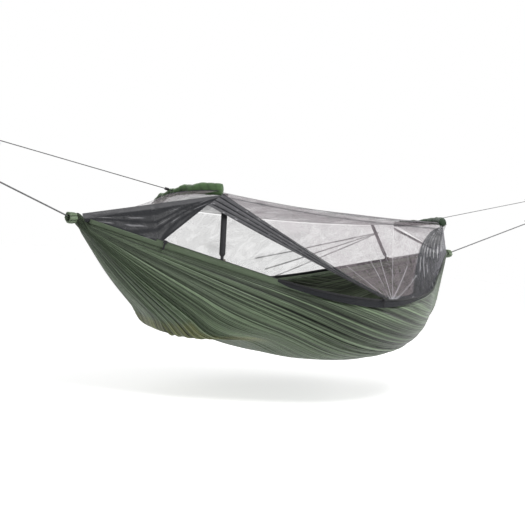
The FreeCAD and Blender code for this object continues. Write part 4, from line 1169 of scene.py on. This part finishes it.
def crease_line(points, bunching, start, finish, width, depth):
    """Raises the bunching along a straight crease between two places given as (t, u) shares."""
    rows, columns = bunching.shape
    t, u = np.meshgrid(np.linspace(0, 1, rows), np.linspace(0, 1, columns), indexing="ij")
    scale = np.array([np.linalg.norm(np.diff(points, axis=0), axis=2).sum(0).mean(),
                      np.linalg.norm(np.diff(points, axis=1), axis=2).sum(1).mean()])
    a, way = np.array(start) * scale, (np.array(finish) - start) * scale
    across, along = t * scale[0] - a[0], u * scale[1] - a[1]
    share = np.clip((across * way[0] + along * way[1]) / (way @ way), 0, 1)
    gap = np.hypot(across - share * way[0], along - share * way[1])
    return np.maximum(bunching, depth * np.exp(-(gap / width) ** 2))


def net_foot(s, first, last, count, side):
    """A net panel's lower edge: along the rim's inner face, just below the tape."""
    return rim_path(s, np.linspace(first, last, count), side, -(s.band_thick / 2 + 0.0013), -0.004)[0]


def roof_edge(s, side, count):
    """The roof's edge between two poles' ends, which sags as a parabola."""
    share = np.linspace(0, 1, count)[:, None]
    start, finish = (pole_points(s, end, side, -s.sleeve) for end in (HEAD, FOOT))
    return start * (1 - share) + finish * share - Z * (s.roof_sag * 4 * share * (1 - share))


def end_side_edge(s, end, side, count):
    """An end panel's upper edge, from the bunched end up to the pole's end."""
    out = -0.04 if side == FAR else 0.022
    corner = MIDDLE + X * (end * (s.belly_reach + out)) + Y * (side * 0.015) + Z * (s.rim_lift + 0.001)
    top = pole_points(s, end, side) - Z * (s.sleeve + 0.0019) + Y * (side * 0.002)
    return line_between(corner, top, count)


def settle_panel(name, points, bunching, finish="Insect Net", glint=0.0):
    """A net panel as a stretched sheet in place of its CAD node."""
    piece = add_surface("net_panel_" + name, points, values={"bunching": bunching, "glint": glint})
    settle(piece, ["net_" + name], finish)


class HAMMOCK_OT_net(bpy.types.Operator):
    """Makes the roof, side and end panels of the insect net"""
    bl_idname = "hammock.net"
    bl_label = "Insect Net"

    def execute(self, context):
        s = context.scene.hammock_sizes
        self.add_roof(s)
        for name, end in ENDS.items():
            self.add_end_roof(s, name, end)
        count = 260
        upper = roof_edge(s, FAR, count) + np.array([0, 0.003, -0.003])
        lower = net_foot(s, SIDE_PANEL_HEAD, SIDE_PANEL_FOOT, count, FAR)
        points, bunching = panel(upper, lower, 100, seed=8, hem_end=0.014)
        for finish in ((0.60, 0.50), (0.80, 0.58), (0.95, 0.64)):
            bunching = crease_line(points, bunching, (0.18, 0.93), finish, 0.0034, 0.8)
        settle_panel("far_side", points, bunching)
        for name, end in ENDS.items():
            meets = SIDE_PANEL_HEAD if end == HEAD else SIDE_PANEL_FOOT
            edge = end_side_edge(s, end, FAR, 60)
            foot = net_foot(s, end * (s.belly_reach - 0.008), meets, 60, FAR)
            points, bunching = panel(edge, foot, 30, seed=14 + end, ripple=0.002,
                                     hem_start=0.012, hem_end=0.012)
            settle_panel(f"far_{name}", points, bunching)
        foot = net_foot(s, s.belly_reach + 0.02, NEAR_PANEL_FOOT, 90, NEAR)
        points, bunching = panel(end_side_edge(s, FOOT, NEAR, 90), foot, 60, seed=23, hem_end=0.016,
                                 hem_start=0.016, ripple=0.002, bunch=0.80)
        # Pleats painted on the near foot panel: more net layers and painted shade in their valleys, painted
        # highlights on their crests in patches.
        t, u = np.linspace(0, 1, 60)[:, None], np.linspace(0, 1, 90)[None, :]
        pleats = fold_profile(u * 6.5 + 0.5 * waves(u * 0.6, t * 0.4, 77, 4, 0.6, 2.0), 0.8)
        bunching = bunching + np.clip(-pleats, 0, 1) * 0.5 + 0.5 * smooth((0.35 - u) / 0.3)
        patches = smooth((waves(u * 2, t * 1.5, 78, 5, 0.8, 3.0) - 0.2) / 0.3)
        settle_panel("near_foot", points, bunching, glint=0.8 * smooth((pleats - 0.96) / 0.03) * patches)
        return {"FINISHED"}

    def add_roof(self, s):
        """Ruled between the two bent poles; it sags as a parabola, most along its edges."""
        across = np.linspace(-0.97, 0.97, 70)
        head = pole_points(s, HEAD, across, -(s.sleeve + 0.0003))
        foot = pole_points(s, FOOT, across, -(s.sleeve + 0.0003))
        points, bunching = panel(head, foot, 170, seed=4, ripple=0.0035, hem_start=0.014, hem_end=0.014,
                                 bunch=0.26)
        t = np.linspace(0, 1, 170)[:, None]
        drop = s.roof_sag * 4 * t * (1 - t) * (0.55 + 0.45 * across[None, :] ** 2)
        points = points - Z * drop[..., None]
        edge = smooth((np.abs(across)[None, :] - 0.93) / 0.03)
        bunching = np.maximum(bunching, 0.9 * edge)
        settle_panel("roof", points, bunching)

    def add_end_roof(self, s, name, end):
        """From a bent pole down to the bunched end, where it is drawn together."""
        tip = MIDDLE + X * (end * (s.belly_reach - 0.044)) + Z * (s.rim_lift - 0.002)
        across = np.linspace(-0.97, 0.97, 60)
        edge = pole_points(s, end, across, s.sleeve + 0.0006 + 0.007 * np.abs(across) ** 3, -0.007)
        points, bunching = panel(edge, line_between(tip - Y * 0.011, tip + Y * 0.011, 60), 70, seed=31 + end,
                                 sag=0.012 if end == HEAD else 0.002, ripple=0.002, hem_start=0.012,
                                 bunch=0.0 if end == HEAD else 0.08)
        t = np.linspace(0, 1, 70)[:, None]
        bunching = np.maximum(bunching, 0.5 * t ** 3)
        settle_panel(name + "_roof", points, bunching)


class HAMMOCK_OT_door(bpy.types.Operator):
    """Makes the unzipped side: the bunched door, the panel above it and the head gusset"""
    bl_idname = "hammock.door"
    bl_label = "Open Door"

    def execute(self, context):
        s = context.scene.hammock_sizes
        hook = pole_points(s, HEAD, NEAR, -0.004) - Z * 0.074
        peak = hook + np.array([-0.070, -0.004, 0.012])
        latch = rim_path(s, [LATCH], NEAR, -(s.band_thick / 2 + 0.0055), 0.0056)[0][0]
        count = 160
        k = np.linspace(0, 1, count)
        free = line_between(peak, latch, count) - Z * (0.003 * np.sin(math.pi * k))[:, None]
        sleeve_end = pole_points(s, HEAD, NEAR, -0.002) - Z * (s.sleeve + 0.004) - Y * 0.006
        narrow = 1 - np.minimum(k / 0.82, 1)[:, None]
        fold = free + (sleeve_end - peak) * narrow + np.array([0.12, -0.28, 0.95]) * 0.009 * (1 - narrow)
        self.add_fold(free, fold)
        lower = np.concatenate([fold + Z * 0.001, net_foot(s, 0.06, NEAR_PANEL_FOOT, count, NEAR)])
        upper = roof_edge(s, NEAR, 2 * count) + np.array([0, -0.003, -0.003])
        top = end_side_edge(s, FOOT, NEAR, 2)[-1]
        upper = upper + (top - upper[-1]) * smooth((np.linspace(0, 1, 2 * count) - 0.93) / 0.07)[:, None]
        points, bunching = panel(upper, lower, 90, seed=6, ripple=0.0035, hem_end=0.010)
        hem = np.concatenate([np.zeros(count), np.ones(count)])[None, :]
        t = np.linspace(0, 1, 90)[:, None]
        bunching = np.maximum(bunching, 0.8 * hem * smooth((t - 0.93) / 0.03))
        gap = t * np.linalg.norm(lower - upper, axis=1)[None, :]
        for place, spread, extra in ((0.036, 0.020, 0.16), (0.024, 0.0045, 0.30)):
            bunching = bunching + extra * np.exp(-((gap - place) / spread) ** 2)
        # Painted highlights: creases from the slider, the crests of the fanned pleats and scattered specks.
        glint = np.zeros(points.shape[:2])
        for start, finish, depth in GLINTS:
            glint = crease_line(points, glint, start, finish, 0.0026, depth)
        # Pleats fanned from the slider: more net layers and painted shade in their valleys.
        u = np.linspace(0, 1, 2 * count)[None, :]
        fan = (1 - u) / np.maximum(t, 0.04)
        pleats = fold_profile(fan * 17 + 0.5 * waves(fan * 2, t * 0.5, 81, 4, 0.6, 2.0), 0.7)
        inside = smooth((0.42 - fan) / 0.05)
        bunching = bunching + inside * (0.50 + 1.1 * np.clip(0.45 - pleats, 0, 1))
        bright = smooth((pleats - 0.90) / 0.08) * smooth((waves(fan * 6, t * 1.5, 82, 5, 0.8, 3.0) + 0.1) / 0.4)
        highlight_specks = smooth((waves(u * 9, t * 3, 61, 8, 2.0, 9.0) - 0.85) / 0.3)
        highlight_specks = highlight_specks * smooth((u - 0.52) / 0.1) * smooth((t - 0.35) / 0.2)
        glint = np.maximum(glint, np.maximum(0.75 * inside * bright, 0.6 * highlight_specks))
        settle_panel("near_side", points, bunching, glint=glint)
        self.add_head_panels(s, peak, sleeve_end)
        return {"FINISHED"}

    def add_fold(self, low, high):
        """The door's free part drawn up into long folds: a strip that zigzags between its two edges."""
        t = np.linspace(0, 1, 60)[:, None]
        points = low[None] * (1 - t[..., None]) + high[None] * t[..., None]
        out = unit(np.cross(np.gradient(low, axis=0), high - low))[None]
        u = np.linspace(0, 1, len(low))[None, :]
        zigzag = fold_profile(t * 2.6 + 0.45 * waves(u * 0.5, t * 0.3, 9, 4, 0.5, 2.0))
        narrow = 1 - 0.6 * u
        points = points + out * (0.0032 * zigzag * narrow * smooth(u / 0.03))[..., None]
        bunching = np.clip(0.75 + 0.25 * zigzag + 0.15 * waves(u * 2.0, t, 12, 5, 1.0, 5.0), 0.3, 1.2)
        # Painted highlights on the fold crests and in scattered specks.
        highlight_specks = smooth((waves(u * 7, t * 1.5, 13, 6, 1.0, 6.0) - 0.9) / 0.3)
        glint = 0.13 * smooth((zigzag + 0.2) / 0.6) + 0.4 * highlight_specks
        piece = add_surface("net_door_bunch", points, values={"bunching": bunching, "glint": glint})
        settle(piece, ["net_door_fold"], finish="Bunched Net")

    def add_head_panels(self, s, peak, sleeve_end):
        """The near head panel and the gusset beyond it, which share one pattern of draped folds, painted on the
        net in shade and highlight.
        """
        count = 50
        lower = net_foot(s, -(s.belly_reach + 0.02), GUSSET_START, count, NEAR)
        lower = lower - Z * (0.016 * np.exp(-np.linspace(0, 8, count)))[:, None]
        corner = MIDDLE + X * -(s.belly_reach + 0.02) + Y * -0.013 + Z * (s.rim_lift + 0.001)
        upper = line_between(corner, sleeve_end, 2 * count)
        raised = line_between(lower[-1], peak, count + 1)
        for name, high, low, seed, past in (("near_head", upper[:count], lower, 17, 0),
                                            ("near_gusset", upper[count - 1:], raised, 19, 1)):
            points, bunching = panel(high, low, 60, seed=seed, ripple=0.002, hem_end=0.010)
            t, u = np.linspace(0, 1, 60)[:, None], np.linspace(0, 1, len(high))[None, :] + past
            drape = fold_profile(t * 2.6 + 0.5 * u + 0.8 * waves(u * 0.4, t * 0.8, 17, 5, 0.6, 2.4), 0.6)
            span = np.linalg.norm(high - low, axis=1)[None, :]
            band = smooth((0.024 - t * span) / 0.008)
            # Painted folds: more net layers and painted shade in the valleys, painted highlights on the crests and
            # along the top band.
            bunching = bunching + 0.62 + 1.2 * np.clip(0.5 - drape, 0, 1.2) * (1 - band)
            patches = smooth(waves(u * 2, t * 2, 20, 5, 0.8, 3.0))
            glint = 0.26 * smooth((drape - 0.93) / 0.06) * (1 - band) * patches + 0.10 * band
            settle_panel(name, points, bunching, "Bunched Net", glint)


class HAMMOCK_OT_straps(bpy.types.Operator):
    """Makes the two webbing straps that tie the roof to the inside of the body"""
    bl_idname = "hammock.straps"
    bl_label = "Side Straps"

    def execute(self, context):
        joints = {j["name"]: j for j in frame["joints"]}
        for name in SIDES:
            turn = joints[name + "_toggle_turn"]
            self.add_strap(name, np.array(turn["pos_m"]), np.array(turn["axis"], dtype=float))
        return {"FINISHED"}

    def add_strap(self, name, foot, forward):
        """A flat tape, 24 mm wide, that narrows to a tongue at its rivet; its face turns with forward."""
        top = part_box(name + "_side_strap")[1][2]
        level = unit(np.cross(forward, Z))
        up = np.cross(level, forward)
        up = up if up[2] > 0 else -up
        reach = (top - foot[2]) / up[2] - 0.002
        rise = np.concatenate([np.linspace(-0.0065, 0.016, 12), np.linspace(0.018, 0.026, 6),
                               np.linspace(0.028, reach, 90)])
        half = np.interp(rise, [-0.0065, -0.004, 0.016, 0.026], [0.003, 0.0062, 0.0062, 0.0118])
        sway = 0.0006 * waves(rise * 3, rise * 0, 3, 4, 0.6, 2.0) * smooth((rise - 0.03) / 0.05)
        path = foot + up * rise[:, None] + forward * sway[:, None]
        ring = rounded_bar(1.0, 0.0008, 0.0004)
        points = path[:, None] + level * (ring[None, :, :1] * half[:, None, None]) + forward * ring[None, :, 1:]
        strap = add_surface(name + "_strap", points, closed_around=True, capped=True)
        turn = np.linspace(0, 2 * math.pi, 24, endpoint=False)
        rim = np.array([0.0031, 0.0031, 0.0026, 0.0010])[:, None]
        depth = np.array([-0.006, 0.0056, 0.0064, 0.0067])[:, None]
        stud = foot + level * (rim * np.cos(turn))[..., None] + up * (rim * np.sin(turn))[..., None]
        stud = stud + forward * (depth + 0 * turn)[..., None]
        rivet = add_surface(name + "_rivet", stud, closed_around=True, capped=True)
        piece = join_pieces(name + "_webbing_strap", [strap, rivet])
        settle(piece, [name + "_side_strap"], finish="Dark Webbing")


# ---------------------------------------------------------------- panel and start


class HAMMOCK_PT_panel(bpy.types.Panel):
    """Lists the hammock's pieces"""
    bl_idname = "HAMMOCK_PT_panel"
    bl_label = "Camping Hammock"
    bl_space_type = "VIEW_3D"
    bl_region_type = "UI"
    bl_category = "Hammock"

    def draw(self, context):
        for step in STEPS:
            self.layout.operator(step.bl_idname)
        for group in (context.scene.hammock_sizes, context.scene.hammock_colours):
            column = self.layout.column(align=True)
            for key in group.__annotations__:
                column.prop(group, key)


STEPS = (HAMMOCK_OT_finishes, HAMMOCK_OT_stage, HAMMOCK_OT_ropes, HAMMOCK_OT_body, HAMMOCK_OT_rims,
         HAMMOCK_OT_poles, HAMMOCK_OT_net, HAMMOCK_OT_door, HAMMOCK_OT_straps)
CLASSES = (HammockSizes, HammockColours, *STEPS, HAMMOCK_PT_panel)


def register():
    for each in CLASSES:
        bpy.utils.register_class(each)
    bpy.types.Scene.hammock_sizes = PointerProperty(type=HammockSizes)
    bpy.types.Scene.hammock_colours = PointerProperty(type=HammockColours)


def unregister():
    del bpy.types.Scene.hammock_colours
    del bpy.types.Scene.hammock_sizes
    for each in reversed(CLASSES):
        bpy.utils.unregister_class(each)


def main():
    register()
    for step in STEPS:
        getattr(bpy.ops.hammock, step.bl_idname.split(".")[1])()


if __name__ == "__main__":
    main()
